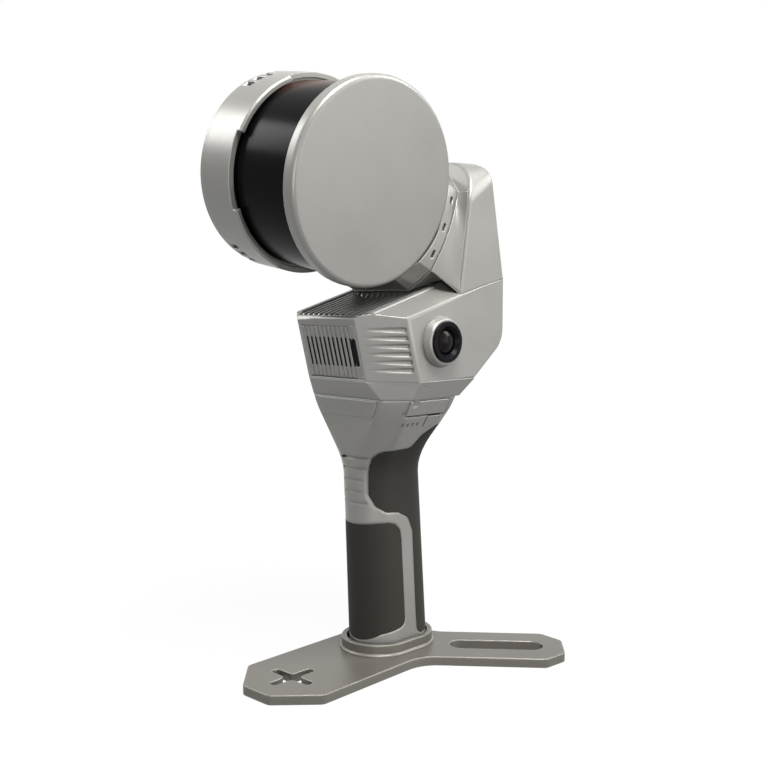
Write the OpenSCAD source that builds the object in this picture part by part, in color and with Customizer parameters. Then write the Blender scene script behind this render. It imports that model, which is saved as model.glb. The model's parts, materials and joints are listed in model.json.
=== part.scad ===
// Handheld mobile laser scanner: a spinning range finder on a turning head, carried by a rear arm
// over a camera body, with a battery grip and a two-legged base plate.
// Frame: +Z up, +X towards the right camera, -Y towards the louvred front.
// Origin on the grip axis, on the underside of the base plate. All sizes in millimetres.

/* [Base plate] */
// Thickness of the plate
plate_t = 5; // [4:0.5:8]
// Direction of the front leg, degrees from +X
front_leg_dir = -87; // [-95:1:-80]
// Length of the front leg from the grip axis
front_leg_len = 93.5; // [85:0.5:110]
// Width of the front leg
front_leg_w = 57; // [50:0.5:66]
// Corner cut at the front leg's tip
front_leg_cut = 19; // [10:0.5:22]
// Direction of the slotted leg, degrees from +X
slot_leg_dir = 42; // [35:1:55]
// Length of the slotted leg from the grip axis
slot_leg_len = 97; // [92:0.5:115]
// Width of the slotted leg
slot_leg_w = 40.6; // [34:0.5:50]
// Corner cut at the slotted leg's tip
slot_leg_cut = 10.5; // [5:0.5:14]
// Length of the strap slot
slot_len = 51; // [40:0.5:54]
// Width of the strap slot
slot_w = 13.5; // [10:0.5:16]
// Distance of the slot's middle from the grip axis
slot_mid = 60.5; // [58:0.5:64]
// Span of the cross-shaped sighting hole
cross_span = 28; // [20:1:34]
// Width of the sighting hole's bars
cross_bar = 5; // [4.5:0.5:7]
// Distance of the sighting hole from the grip axis
cross_mid = 69.5; // [64:0.5:72]
// Radius of the plate's outer corners
plate_corner_r = 4.5; // [1:0.5:5]
// Radius of the hollow between the legs
leg_fillet_r = 20; // [10:1:25]

/* [Collar] */
// Height of the collar above the plate
collar_h = 6.5; // [5:0.5:9]
// Wall of the collar
collar_wall = 2.8; // [2:0.1:4]
// Gap between the collar and the grip
collar_gap = 1; // [0.9:0.05:1.4]

/* [Grip] */
// Radius of the grip's rounded ends at its foot
grip_r_foot = 16.15; // [15.8:0.05:18]
// Radius of the grip's rounded ends below the neck
grip_r_head = 15; // [14.8:0.1:18]
// Half the distance between the two rounded ends
grip_straight = 6.9; // [6:0.1:9]
// Height where the grip ends and the neck begins
grip_top = 101; // [98:1:106]
// Forward lean of the grip, degrees
grip_lean = 3.15; // [2:0.05:3.4]
// Wall of the grip and neck casting
grip_wall = 2.8; // [2.4:0.1:3]
// Depth of the pockets that hold the rubber pads
pad_depth = 1.6; // [1:0.1:1.8]
// Height of the pads above the casting
pad_proud = 0.1; // [0:0.05:0.6]
// Gap round the pads
pad_gap = 0.15; // [0.1:0.05:0.3]
// Number of finger grooves
groove_n = 5; // [3:1:5]
// Pitch of the finger grooves
groove_pitch = 6.1; // [5:0.1:6.2]
// Radius of a finger groove's cutter
groove_r = 0.8; // [0.5:0.1:1.2]

/* [Neck] */
// Height of the neck's top
neck_top = 143.5; // [140:0.5:147]
// Half width of the neck's top
neck_half_w = 36.7; // [34:0.1:36.8]
// Front of the neck's top
neck_front = -29; // [-29:0.1:-26]
// Back of the neck's top
neck_back = 18.4; // [17:0.1:18.6]
// Corner cut at the neck's front
neck_front_cut = 10.6; // [8:0.1:12]
// Corner cut at the neck's back
neck_back_cut = 3.5; // [2:0.5:5]

/* [Neck controls] */
// Width of the port cover
port_w = 28; // [24:0.5:29]
// Height of the port cover
port_h = 8.5; // [8:0.5:9.5]
// Thickness of the port cover
port_t = 2; // [1.6:0.1:2.2]
// Width of the power button
button_w = 8.5; // [8:0.5:10]
// Height of the power button
button_h = 6.6; // [5:0.2:7]
// Travel of the power button
button_travel = 1; // [0.6:0.1:1.2]
// Gap round the power button
button_gap = 0.3; // [0.2:0.05:0.4]
// Number of charge lights
light_n = 4; // [3:1:4]
// Pitch of the charge lights
light_pitch = 3.43; // [3:0.01:4]

/* [Camera body] */
// Half width of the body
body_half_w = 41.5; // [40:0.5:45]
// Height of the seam between tray and body
seam_z = 152.7; // [151:0.1:154]
// Front of the body at the seam
seam_front = -35.5; // [-37:0.1:-34]
// Front of the body at its upper lip
lip_front = -43.8; // [-46:0.1:-42]
// Height of the upper lip
lip_z = 185.1; // [183:0.1:187]
// Back of the body
body_back = 48.6; // [47:0.1:52]
// Cut of the body's front corners, along the side
corner_cut = 18.6; // [16:0.1:20]
// Half width of the front face between the corner cuts
front_half_w = 22.2; // [22:0.1:24]
// Slope of the roof, degrees
roof_slope = 16.87; // [14:0.01:18]
// Drop of the roof's shoulders to the sides
shoulder_drop = 5.9; // [4:0.1:7]
// Half width of the finned roof panel
fin_half_w = 27.5; // [24:0.5:28]
// Number of cooling fins
fin_n = 14; // [10:1:15]
// Thickness of a cooling fin
fin_t = 1.5; // [1.2:0.1:1.8]
// Height of the cooling fins
fin_h = 4; // [2.5:0.5:5]
// Number of corner grooves
corner_groove_n = 6; // [4:1:6]
// Pitch of the corner grooves
corner_groove_pitch = 4.06; // [3.6:0.02:4.2]
// Radius of a corner groove
corner_groove_r = 1.35; // [1:0.05:1.5]

/* [Front grille] */
// Half width of the grille panel
grille_half_w = 20.9; // [19:0.1:21]
// Height of the grille panel
grille_h = 28; // [24:0.5:28.5]
// Thickness of the grille panel
grille_t = 3; // [2:0.1:3.2]
// Number of louvre slots
louvre_n = 11; // [8:1:11]
// Pitch of the louvre slots
louvre_pitch = 3.3; // [2.8:0.05:3.4]
// Width of a louvre slot
louvre_w = 1.7; // [1.2:0.1:2]
// Height of a louvre slot
louvre_h = 15; // [10:0.5:16]

/* [Cameras] */
// Position of the camera axis, front to back
cam_y = -1.7; // [-4:0.1:2]
// Height of the camera axis
cam_z = 172.5; // [171:0.1:174]
// Radius of the bezel at the body
bezel_r = 13.2; // [12:0.1:14]
// Radius of the bezel at its front
bezel_front_r = 11.6; // [11:0.1:12]
// Height of the bezel
bezel_h = 4.3; // [3:0.1:6]
// Radius of the camera barrel
barrel_r = 9; // [8:0.1:9.5]
// Radius of the barrel's front ring
barrel_ring_r = 10.5; // [10:0.1:10.8]
// Radius of the front lens
lens_r = 6.6; // [5:0.1:7]

/* [Arm] */
// Front of the arm at the body
arm_front = 13.2; // [12:0.1:15]
// Lean of the arm's front edge, degrees
arm_front_lean = 8.2; // [6:0.1:10]
// Lean of the arm's back, degrees
arm_back_lean = 10.6; // [8:0.1:11]
// Slope of the seam between arm and body, degrees
arm_seam_slope = 14; // [10:0.5:16]
// Height of the arm's top at the front
arm_top = 267.8; // [264:0.1:272]
// Height of the arm's top at the back
arm_back_top = 265.5; // [262:0.1:268]
// Radius of the arm's top corners at the front
arm_front_r = 26; // [20:0.5:30]
// Radius of the arm's top corners at the back
arm_back_r = 10; // [6:0.5:18]
// Wall of the arm and body castings
case_wall = 3; // [2.5:0.1:3.2]

/* [Turning head] */
// Position of the head's seat on the arm, front to back
head_seat_y = 11.1; // [10.3:0.1:12.3]
// Height of the head's seat on the arm
head_seat_z = 229.3; // [229:0.1:231]
// Upward tilt of the turning axis, degrees
head_tilt = 26; // [24:0.1:27]
// Turn of the range finder in its bracket, degrees
finder_turn = -9.4; // [-12:0.1:0]
// Lean of the range finder's axis towards the arm, degrees
finder_skew = 3.4; // [0:0.1:4]
// Gap between the bracket and the arm
head_gap = 0.6; // [0.5:0.05:1]
// Half width of the bracket
bracket_half_w = 35; // [32:0.1:35]
// Bow of the bracket's sides
bracket_bow = 3; // [1:0.1:4]
// Half height of the bracket
bracket_half_h = 34; // [30:0.1:34]
// Corner cut of the bracket
bracket_cut = 11; // [10:0.5:14]
// Radius of the drive shaft
shaft_r = 4; // [3:0.1:4.5]
// Radial clearance of running fits
run_fit = 0.05; // [0.02:0.01:0.09]

/* [Range finder] */
// Radius of the end cup and the front cap
cup_r = 50.4; // [50:0.1:50.6]
// Height of the end cup with its end plate
cup_h = 29.3; // [27:0.1:32]
// Thickness of the end plate
end_plate_t = 3.8; // [3:0.1:5]
// Step from the cup's outside in to the window
window_step = 3.9; // [3.4:0.1:5.4]
// Wall of the window
window_wall = 3; // [2:0.1:4]
// Thickness of the front cap
cap_t = 8.2; // [7:0.1:10]
// Height of the whole range finder
finder_h = 77.2; // [74:0.1:77.4]

/* [Hidden] */
$fn = 64;

// Colours
silver = "#a3a39d";
dark_rubber = "#31302d";
black = "#17181a";
steel = "#b9bcc0";
brass = "#b59a4c";
board_green = "#1f5a3a";
cell_blue = "#355f8a";

// Grip and neck sections
grip_y0 = 1.5;
neck_mid = (neck_front + neck_back) / 2;
EDGE_STEPS = [8, 4, 12, 4, 8, 8, 8, 8];
neck_ease = 0.25;

function mix(a, b, t) = a + (b - a) * t;
function clamp01(t) = max(0, min(1, t));
function lean_y(z) = grip_y0 - tan(grip_lean) * (z - plate_t);
function grip_r(z) = mix(grip_r_foot, grip_r_head, clamp01((z - plate_t) / (grip_top - plate_t)));
function neck_u(z) = clamp01((z - grip_top) / (neck_top - grip_top));
function neck_t(z) = let (u = neck_u(z)) mix(u * u * (3 - 2 * u), pow(u, 2.4), neck_ease);
function shift_u(z) = clamp01(2 * neck_u(z));
function shift_t(z) = let (u = shift_u(z)) u * u * (3 - 2 * u);
function section_y(z) = mix(lean_y(min(z, grip_top)), neck_mid, shift_t(z));

// Outline of a rectangle with its front and back corners cut off, counter-clockwise from above
function cut_rectangle(hw, front, back, front_cut, back_cut) = [
  [hw, front + front_cut], [hw, back - back_cut], [hw - back_cut, back], [back_cut - hw, back],
  [-hw, back - back_cut], [-hw, front + front_cut], [front_cut - hw, front], [hw - front_cut, front]];

// Points along each edge of an outline, with a count of steps for each edge
function stepped(outline, steps) = [
  for (i = [0 : len(outline) - 1])
    for (k = [0 : steps[i] - 1])
      mix(outline[i], outline[(i + 1) % len(outline)], k / steps[i])];

// Angles on the grip's round ends that the neck's corners run into, from the front and from the back
side_front_angle = 75;
front_angle = 15;
side_back_angle = 72;
back_angle = 45;

// Point on the slot-shaped grip that belongs to a place along one edge of the neck's outline
function front_point(a, r) = [r * sin(a), -grip_straight - r * cos(a)];
function back_point(a, r) = [r * sin(a), grip_straight + r * cos(a)];
function side_point(y, r) = [sqrt(r * r - pow(max(0, abs(y) - grip_straight), 2)), y];
function slot_side(f, r) =
  side_point(mix(front_point(side_front_angle, r)[1], back_point(side_back_angle, r)[1], f), r);
function slot_point(edge, f, r) =
  edge == 0 ? slot_side(f, r)
  : edge == 1 ? back_point(mix(side_back_angle, back_angle, f), r)
  : edge == 2 ? back_point(mix(back_angle, -back_angle, f), r)
  : edge == 3 ? back_point(mix(-back_angle, -side_back_angle, f), r)
  : edge == 4 ? let (p = slot_side(1 - f, r)) [-p[0], p[1]]
  : edge == 5 ? front_point(mix(-side_front_angle, -front_angle, f), r)
  : edge == 6 ? front_point(mix(-front_angle, front_angle, f), r)
  : front_point(mix(front_angle, side_front_angle, f), r);
function slot_ring(r) = [
  for (i = [0 : 7]) for (k = [0 : EDGE_STEPS[i] - 1]) slot_point(i, k / EDGE_STEPS[i], r)];

NECK_OUTLINE = stepped(
  cut_rectangle(neck_half_w, neck_front, neck_back, neck_front_cut, neck_back_cut), EDGE_STEPS);

// Section of the grip or neck at one height, moved out by d from the casting's surface
function section(z, d) =
  let (t = neck_t(z), grip = slot_ring(grip_r(z)), y = section_y(z))
  [for (i = [0 : len(grip) - 1])
    let (p = mix(grip[i], NECK_OUTLINE[i] - [0, neck_mid], t), q = p * (1 + d / norm(p)))
    [q[0], y + q[1], z]];

// Half width of the grip or neck at one height, and the lean of its side
function side_x(z) = mix(grip_r(z), neck_half_w, neck_t(z));
function side_lean(z) = atan((side_x(z + 3) - side_x(z - 3)) / 6);

// Heights at which the grip and neck have sections
neck_steps = 13;
SHELL_LEVELS = concat([plate_t],
  [for (k = [0 : neck_steps]) mix(grip_top, neck_top, k / neck_steps)]);
pad_top_z = 133;
pad_steps = 8;
REAR_LEVELS = concat([plate_t + collar_h / 2],
  [for (k = [0 : pad_steps]) mix(grip_top, pad_top_z, k / pad_steps)]);
front_pad_top_z = 76.2;

// Body
front_lean = atan((seam_front - lip_front) / (lip_z - seam_z));
roof_rise = tan(roof_slope);
chamfer_slope = 0.806;
chamfer_z0 = neck_top;
chamfer_y0 = 14.2;
back_round_r = 15;
chamfer_angle = atan(chamfer_slope);
chamfer_angle_half = (90 - chamfer_angle) / 2;
tray_half_w = 37;
tray_front = -29.1;
tray_front_cut = 10.8;
tray_back_cut = 1.2;
tray_back = 18.8;
tray_wall = 3;
roof_depth = 9;
sink_base_t = 2;
sink_drop = fin_h + sink_base_t;
sink_gap = 0.3;
sink_wall = 2.4;
front_wall = 5.2;
cavity_half_w = body_half_w - case_wall;

function front_y(z) = mix(seam_front, lip_front, (z - seam_z) / (lip_z - seam_z));
function roof_z(y) = lip_z + (y - lip_front) * roof_rise;
function arm_seam_z(y) = arm_seam_z0 + (y - arm_front) * tan(arm_seam_slope);
function chamfer_y(z) = chamfer_y0 + (z - chamfer_z0) / chamfer_slope;
function chamfer_z(y) = chamfer_z0 + (y - chamfer_y0) * chamfer_slope;

arm_seam_z0 = roof_z(arm_front) - shoulder_drop;
roof_len = (arm_front - lip_front) / cos(roof_slope);

// Head
seat_room = 8.9;
rotor_seat = -cup_r - seat_room;
head_y = head_seat_y + rotor_seat * cos(head_tilt);
head_z = head_seat_z - rotor_seat * sin(head_tilt);
rim_bite = 6.4;
seat_back = 0.3;
arm_seam_gap = 0.2;
bracket_base = rotor_seat + head_gap;
finder_clear = 0.1;
bracket_rim = rim_bite - cup_r;
hub_flange_r = 15;
hub_flange_t = 2.8;
hub_gap = 0.8;
seat_wall = 3.8;
frame_front = rotor_seat - seat_wall;
frame_t = 2.2;
frame_r = 20;
frame_flat = 11.5;
tube_r = 9.5;
bearing_r = 8;
bearing_w = 4;
tube_len = 12.2;
tube_end = frame_front - tube_len;
stator_r = 13.6;
bell_in_r = 14;
bell_r = 15.8;
bell_end = tube_end - 2;
bell_floor = 1.4;
post_ring_r = 17.9;
post_r = 1.5;
rear_plate = bell_end - 1.8;
rear_plate_t = 1.5;
slip_r = 4.5;
slip_len = 10;

// Range finder along its own axis
finder_back = -finder_h / 2;
finder_front = finder_h / 2;
window_r = cup_r - window_step;
cup_back = finder_back + end_plate_t;
cup_lip = finder_back + cup_h;
lip_depth = 4;
window_gap = 1.1;
cap_back = finder_front - cap_t;

// Placing modules

// Extrudes an outline drawn front to back and up across the width
module across(w) {
  rotate([90, 0, 90]) linear_extrude(w, center = true) children();
}

// Mirrors a copy to the left side
module left() {
  mirror([1, 0, 0]) children();
}

// Frame on the right side of the neck: x down the surface, y to the back, z outwards
module neck_side(y, z) {
  translate([side_x(z), y, z]) rotate([0, 90 + side_lean(z), 0]) children();
}

// Frame on the leaning front face: z up the face, -y outwards
module front_face() {
  translate([0, seam_front, seam_z]) rotate([front_lean, 0, 0]) children();
}

// Frame on the sloping roof: y up the slope from the lip, z outwards
module roof() {
  translate([0, lip_front, lip_z]) rotate([roof_slope, 0, 0]) children();
}

// Frame on the turning axis: z along the axis from the head's centre, away from the arm
module turning_axis() {
  translate([0, head_y, head_z]) rotate([90 - head_tilt, 0, 0]) children();
}

// Frame on the range finder's own axis, with z towards its front cap
module finder_axis() {
  turning_axis() rotate([0, 0, finder_turn]) rotate([0, 90 + finder_skew, 0]) children();
}

// Frame on the right camera's axis, with z outwards from the body's side
module camera_axis() {
  translate([body_half_w, cam_y, cam_z]) rotate([0, 90, 0]) children();
}

// Shaping modules

// Tube between two stacks of sections
module section_tube(outer, inner) {
  n = len(outer[0]);
  m = len(outer);
  k0 = m * n;
  polyhedron(
    points = concat([for (ring = outer) for (p = ring) p], [for (ring = inner) for (p = ring) p]),
    faces = concat(
      [for (k = [0 : m - 2]) for (i = [0 : n - 1])
        [k * n + i, (k + 1) * n + i, (k + 1) * n + (i + 1) % n]],
      [for (k = [0 : m - 2]) for (i = [0 : n - 1])
        [k * n + i, (k + 1) * n + (i + 1) % n, k * n + (i + 1) % n]],
      [for (k = [0 : m - 2]) for (i = [0 : n - 1])
        [k0 + k * n + i, k0 + k * n + (i + 1) % n, k0 + (k + 1) * n + (i + 1) % n]],
      [for (k = [0 : m - 2]) for (i = [0 : n - 1])
        [k0 + k * n + i, k0 + (k + 1) * n + (i + 1) % n, k0 + (k + 1) * n + i]],
      [for (i = [0 : n - 1]) [i, (i + 1) % n, k0 + (i + 1) % n]],
      [for (i = [0 : n - 1]) [i, k0 + (i + 1) % n, k0 + i]],
      [for (i = [0 : n - 1]) [(m - 1) * n + i, k0 + (m - 1) * n + i, k0 + (m - 1) * n + (i + 1) % n]],
      [for (i = [0 : n - 1])
        [(m - 1) * n + i, k0 + (m - 1) * n + (i + 1) % n, (m - 1) * n + (i + 1) % n]]));
}

// Solid between a lower and an upper outline of the same count of points
module lofted(lower, z0, upper, z1) {
  n = len(lower);
  polyhedron(
    points = concat([for (p = lower) [p[0], p[1], z0]], [for (p = upper) [p[0], p[1], z1]]),
    faces = concat(
      [for (i = [0 : n - 1]) [i, n + i, n + (i + 1) % n]],
      [for (i = [0 : n - 1]) [i, n + (i + 1) % n, (i + 1) % n]],
      [[for (i = [0 : n - 1]) i]],
      [[for (i = [0 : n - 1]) 2 * n - 1 - i]]));
}

// Slot shape with its round ends front and back
module slot_shape(r, straight) {
  translate([0, straight]) circle(r);
  translate([0, -straight]) circle(r);
  square([2 * r, 2 * straight], center = true);
}

// Bar with round ends along X
module round_bar(len, w) {
  for (s = [-1, 1]) translate([s * (len - w) / 2, 0]) circle(w / 2);
  square([len - w, w], center = true);
}

// Rectangle with round corners
module round_rect(w, h, r) {
  offset(r) square([w - 2 * r, h - 2 * r], center = true);
}

// Ring round the z axis
module ring(r_out, r_in, z0, z1) {
  translate([0, 0, z0]) difference() {
    cylinder(r = r_out, h = z1 - z0);
    translate([0, 0, -1]) cylinder(r = r_in, h = z1 - z0 + 2);
  }
}

// Disc round the z axis
module disc(r, z0, z1) {
  translate([0, 0, z0]) cylinder(r = r, h = z1 - z0);
}

// Base

// Outline of one leg along X, with its tip's corners cut
module leg_shape(length, w, cut) {
  polygon([[0, -w / 2], [length - cut, -w / 2], [length, cut - w / 2], [length, w / 2 - cut],
    [length - cut, w / 2], [0, w / 2]]);
}

collar_r = grip_r_foot + collar_gap + collar_wall;
foot_y = lean_y(plate_t + collar_h / 2);
collar_shift = 0.6;
collar_y = foot_y - collar_shift;
pad_margin = 4;

module plate_shape() {
  offset(plate_corner_r) offset(delta = -plate_corner_r)
    offset(-leg_fillet_r) offset(leg_fillet_r) {
      rotate(front_leg_dir) leg_shape(front_leg_len, front_leg_w, front_leg_cut);
      rotate(slot_leg_dir) leg_shape(slot_leg_len, slot_leg_w, slot_leg_cut);
      translate([0, collar_y]) slot_shape(collar_r + pad_margin, grip_straight);
    }
}

module cross_shape() {
  offset(-cross_bar / 2) offset(cross_bar / 2) {
    round_bar(cross_span, cross_bar);
    rotate(90) round_bar(cross_span, cross_bar);
  }
}

screw_r = 2.5;
screw_gap = 0.3;
screw_head_r = 4.75;
screw_head_t = 2.4;
screw_recess = 2.8;
screw_hex = 2.2;
screw_pitch = 18;

// Places of the two screws that hold the grip on the plate
module screw_places() {
  for (s = [-1, 1]) translate([0, foot_y + s * screw_pitch / 2, 0]) children();
}

module base_plate() {
  color(silver) difference() {
    linear_extrude(plate_t) difference() {
      plate_shape();
      rotate(slot_leg_dir) translate([slot_mid, 0]) round_bar(slot_len, slot_w);
      rotate(front_leg_dir) translate([cross_mid, 0]) cross_shape();
    }
    screw_places() {
      disc(screw_r + screw_gap, -1, plate_t + 1);
      disc(screw_head_r + screw_gap, -1, screw_recess);
    }
  }
}

collar_foot_h = 1.2;
collar_foot = 1;

module base_collar() {
  color(silver) translate([0, collar_y, plate_t]) difference() {
    union() {
      linear_extrude(collar_h) slot_shape(collar_r, grip_straight);
      linear_extrude(collar_foot_h) slot_shape(collar_r + collar_foot, grip_straight);
    }
    translate([0, 0, -1]) linear_extrude(collar_h + 2)
      slot_shape(collar_r - collar_wall, grip_straight);
  }
}

cap_plug_t = 8;
screw_reach = plate_t + cap_plug_t - 1;

module base_screws() {
  color(steel) screw_places() difference() {
    union() {
      disc(screw_head_r, screw_recess - screw_head_t, screw_recess);
      disc(screw_r, screw_recess, screw_reach);
    }
    translate([0, 0, screw_recess - screw_head_t - 1]) cylinder(r = screw_hex, h = 2.6, $fn = 6);
  }
}

// Grip

REAR_PAD_POINTS = [[60, 12], [8.2, 12], [7.2, 24], [5, 69.5], [1.5, 77.5], [-5.6, 81.2], [-14, 82.2],
  [-19.2, 85.6], [-21.8, 91.5], [-22.4, 115], [-1.2, 115.6], [2.6, 123], [9.7, 127.4], [20, 131.5], [60, 132]];
FRONT_PAD_POINTS = [[-60, -12], [-21.5, 12.6], [-15.7, 16.4], [-1.2, 18.9], [-3.7, 66], [-4.6, 71.5],
  [-8, 74.9], [-13, front_pad_top_z], [-19, front_pad_top_z], [-25, front_pad_top_z - 0.9],
  [-60, front_pad_top_z - 0.9]];
pad_corner_r = 4.5;

module pad_region(points, grow) {
  across(2 * neck_half_w + 20) offset(delta = grow) offset(pad_corner_r) offset(-2 * pad_corner_r)
    offset(pad_corner_r) polygon(points);
}

// Layer of the grip's skin between two offsets
module grip_skin(levels, d0, d1) {
  section_tube([for (z = levels) section(z, d1)], [for (z = levels) section(z, d0)]);
}

front_pad_foot = plate_t + 4;

module rear_pad_solid(d0, d1, grow) {
  intersection() {
    grip_skin(REAR_LEVELS, d0, d1);
    pad_region(REAR_PAD_POINTS, grow);
  }
}

module front_pad_solid(d0, d1, grow) {
  intersection() {
    grip_skin([front_pad_foot, front_pad_top_z + 4], d0, d1);
    pad_region(FRONT_PAD_POINTS, grow);
  }
}

groove_z0 = 87;
GROOVE_HALF_ANGLES = [34, 24, 28, 34, 42];

module finger_grooves() {
  for (k = [0 : groove_n - 1]) {
    z = groove_z0 + k * groove_pitch;
    half = GROOVE_HALF_ANGLES[k];
    translate([0, section_y(z) - grip_straight, z]) rotate(-90 - half)
      rotate_extrude(angle = 2 * half)
        translate([grip_r(z) + groove_r / 2, 0]) circle(groove_r);
  }
}

port_y = -3.6;
port_z = 138.35;
port_pocket = 2.9;
port_edge_gap = 0.35;
port_swing = 0.5;
port_hinge_in = 1.2;
port_hinge_x = port_h / 2 - 0.9;
port_pin_r = 0.7;
port_block_w = 23.4;
port_block_h = 4;
port_block_x = 0.6;
port_pin_out = 1.5;
scoop_r = 4;
scoop_depth = 1;

button_y = 3.7;
button_z = 130.8;
button_flange = 1;
button_wall = 2.46;
light_y0 = -16.6;
light_z = 129.6;
light_size = [2, 0.8, 2.2];
light_pocket = 1.6;
light_gap = 0.1;

module light_pockets(gap, depth, top) {
  for (k = [0 : light_n - 1]) {
    neck_side(light_y0 + k * light_pitch, light_z)
      translate([-light_size[0] / 2 - gap, -light_size[1] / 2 - gap, -depth])
        cube([light_size[0] + 2 * gap, light_size[1] + 2 * gap, depth + top]);
  }
}

module port_recess() {
  neck_side(port_y, port_z) {
    translate([-port_h / 2 - port_edge_gap, -port_w / 2 - port_edge_gap, -port_pocket])
      cube([port_h + 2 * port_edge_gap + port_swing, port_w + 2 * port_edge_gap, port_pocket + 6]);
    translate([-port_block_h / 2 - 0.3 + port_block_x, -port_block_w / 2 - 0.3, -grip_wall - 6])
      cube([port_block_h + 0.6, port_block_w + 0.6, 8]);
    translate([port_hinge_x, 0, -port_hinge_in]) rotate([90, 0, 0])
      cylinder(r = port_pin_r + run_fit, h = port_w + 2 * port_pin_out, center = true);
  }
}

module button_hole() {
  neck_side(button_y, button_z) translate([0, 0, -8]) linear_extrude(14)
    square([button_h + 2 * button_gap, button_w + 2 * button_gap], center = true);
}

module handle_shell() {
  color(silver) difference() {
    section_tube([for (z = SHELL_LEVELS) section(z, 0)], [for (z = SHELL_LEVELS) section(z, -grip_wall)]);
    rear_pad_solid(-pad_depth, 3, pad_gap);
    front_pad_solid(-pad_depth, 3, pad_gap);
    finger_grooves();
    port_recess();
    button_hole();
    light_pockets(light_gap, light_pocket, 2);
  }
}

module front_grip_pad() {
  color(dark_rubber) front_pad_solid(-pad_depth + pad_gap, pad_proud, 0);
}

module rear_grip_pad() {
  color(dark_rubber) rear_pad_solid(-pad_depth + pad_gap, pad_proud, 0);
}

plug_gap = 0.7;
insert_r = 3.8;
insert_h = 7;

module handle_end_cap() {
  color(black) difference() {
    translate([0, foot_y, plate_t]) linear_extrude(cap_plug_t)
      slot_shape(grip_r_foot - grip_wall - plug_gap, grip_straight);
    screw_places() disc(insert_r, plate_t - 1, plate_t + cap_plug_t + 1);
  }
}

module thread_inserts() {
  color(brass) screw_places() ring(insert_r, screw_r + run_fit, plate_t, plate_t + insert_h);
}

// Battery

cell_r = 9.1;
cell_len = 65;
cell_pitch = 18.5;
sled_floor = plate_t + cap_plug_t;
sled_t = 1.6;
contact_t = 0.8;
contact_w = 8;
contact_len = 12;
sled_half_w = 9.6;
sled_rise = (sled_half_w + cell_pitch / 2) * sin(grip_lean) + 0.05;

module battery_frame() {
  translate([0, lean_y(sled_floor), sled_floor + sled_rise]) rotate([grip_lean, 0, 0]) children();
}

module battery_cells() {
  color(cell_blue) battery_frame() for (s = [-1, 1])
    translate([0, s * cell_pitch / 2, sled_t + contact_t]) {
      cylinder(r = cell_r, h = cell_len - 1);
      cylinder(r = 3, h = cell_len);
    }
}

module battery_contacts() {
  color(steel) battery_frame() for (z = [sled_t, sled_t + contact_t + cell_len]) for (s = [-1, 1])
    translate([0, s * cell_pitch / 2, z + contact_t / 2])
      cube([contact_w, contact_len, contact_t], center = true);
}

module battery_sled() {
  color(black) battery_frame() {
    for (z = [0, cell_len + sled_t + 2 * contact_t]) translate([0, 0, z]) linear_extrude(sled_t)
      slot_shape(sled_half_w, cell_pitch / 2);
    translate([-sled_half_w, -3, 0]) cube([2, 6, cell_len + 2 * sled_t + 2 * contact_t]);
    translate([sled_half_w - 2, -3, 0]) cube([2, 6, cell_len + 2 * sled_t + 2 * contact_t]);
  }
}

// Neck controls

module port_cover() {
  color(silver) neck_side(port_y, port_z) {
    difference() {
      translate([-port_h / 2, -port_w / 2, -port_t]) cube([port_hinge_x + port_h / 2, port_w, port_t]);
      translate([-port_h / 2 + 1, -port_w / 2 + 4, scoop_r - scoop_depth]) sphere(scoop_r);
    }
    translate([port_hinge_x, 0, -port_hinge_in]) rotate([90, 0, 0]) {
      cylinder(r = port_hinge_in, h = port_w, center = true);
      cylinder(r = port_pin_r, h = port_w + 2 * port_pin_out - 0.4, center = true);
    }
  }
}

module port_block() {
  color(black) neck_side(port_y, port_z) difference() {
    translate([port_block_x - port_block_h / 2, -port_block_w / 2, -grip_wall - 3.6])
      cube([port_block_h, port_block_w, 3.4]);
    for (s = [-1, 1]) translate([port_block_x, s * 5.6, -grip_wall - 2.4]) linear_extrude(8)
      rotate(90) round_bar(8, 2.2);
  }
}

module status_lights() {
  color("#e8ecea") light_pockets(0, light_pocket, -0.3);
}

button_proud = 0.25;
button_back = 4.2;

module power_button() {
  color(silver) neck_side(button_y, button_z) {
    translate([0, 0, -button_back]) linear_extrude(button_back + button_proud)
      square([button_h, button_w], center = true);
    translate([0, 0, -button_back - button_flange]) linear_extrude(button_flange)
      square([button_h + 2, button_w + 2], center = true);
  }
}

switch_gap = 0.4;
switch_shift = 3;

module button_board() {
  top = -button_back - button_flange - button_travel - switch_gap;
  color(board_green) neck_side(button_y, button_z) {
    translate([0, 0, top - 1.5]) linear_extrude(1.5) square([5, 5], center = true);
    translate([0, -switch_shift, top - 3]) linear_extrude(1.5) square([8, button_w + 8.5], center = true);
    for (s = [-1, 1]) translate([s * 2.6, -button_w / 2 - 4.6, top - 1.5])
      cylinder(r = 1.2, h = -button_wall - top + 1.5);
  }
}

// Body

TRAY_LOWER = cut_rectangle(tray_half_w, tray_front, tray_back, tray_front_cut, tray_back_cut);
TRAY_UPPER = cut_rectangle(body_half_w, seam_front, chamfer_y(seam_z),
  body_half_w - front_half_w, tray_back_cut / 2);

board_z = seam_z + 3;
board_t = 1.6;
board_size = [56, 44];
board_mid_y = -1;
board_post_r = 2.6;

module board_corners() {
  for (sx = [-1, 1]) for (sy = [-1, 1])
    translate([sx * (board_size[0] / 2 - 5), board_mid_y + sy * (board_size[1] / 2 - 5), 0]) children();
}

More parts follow.
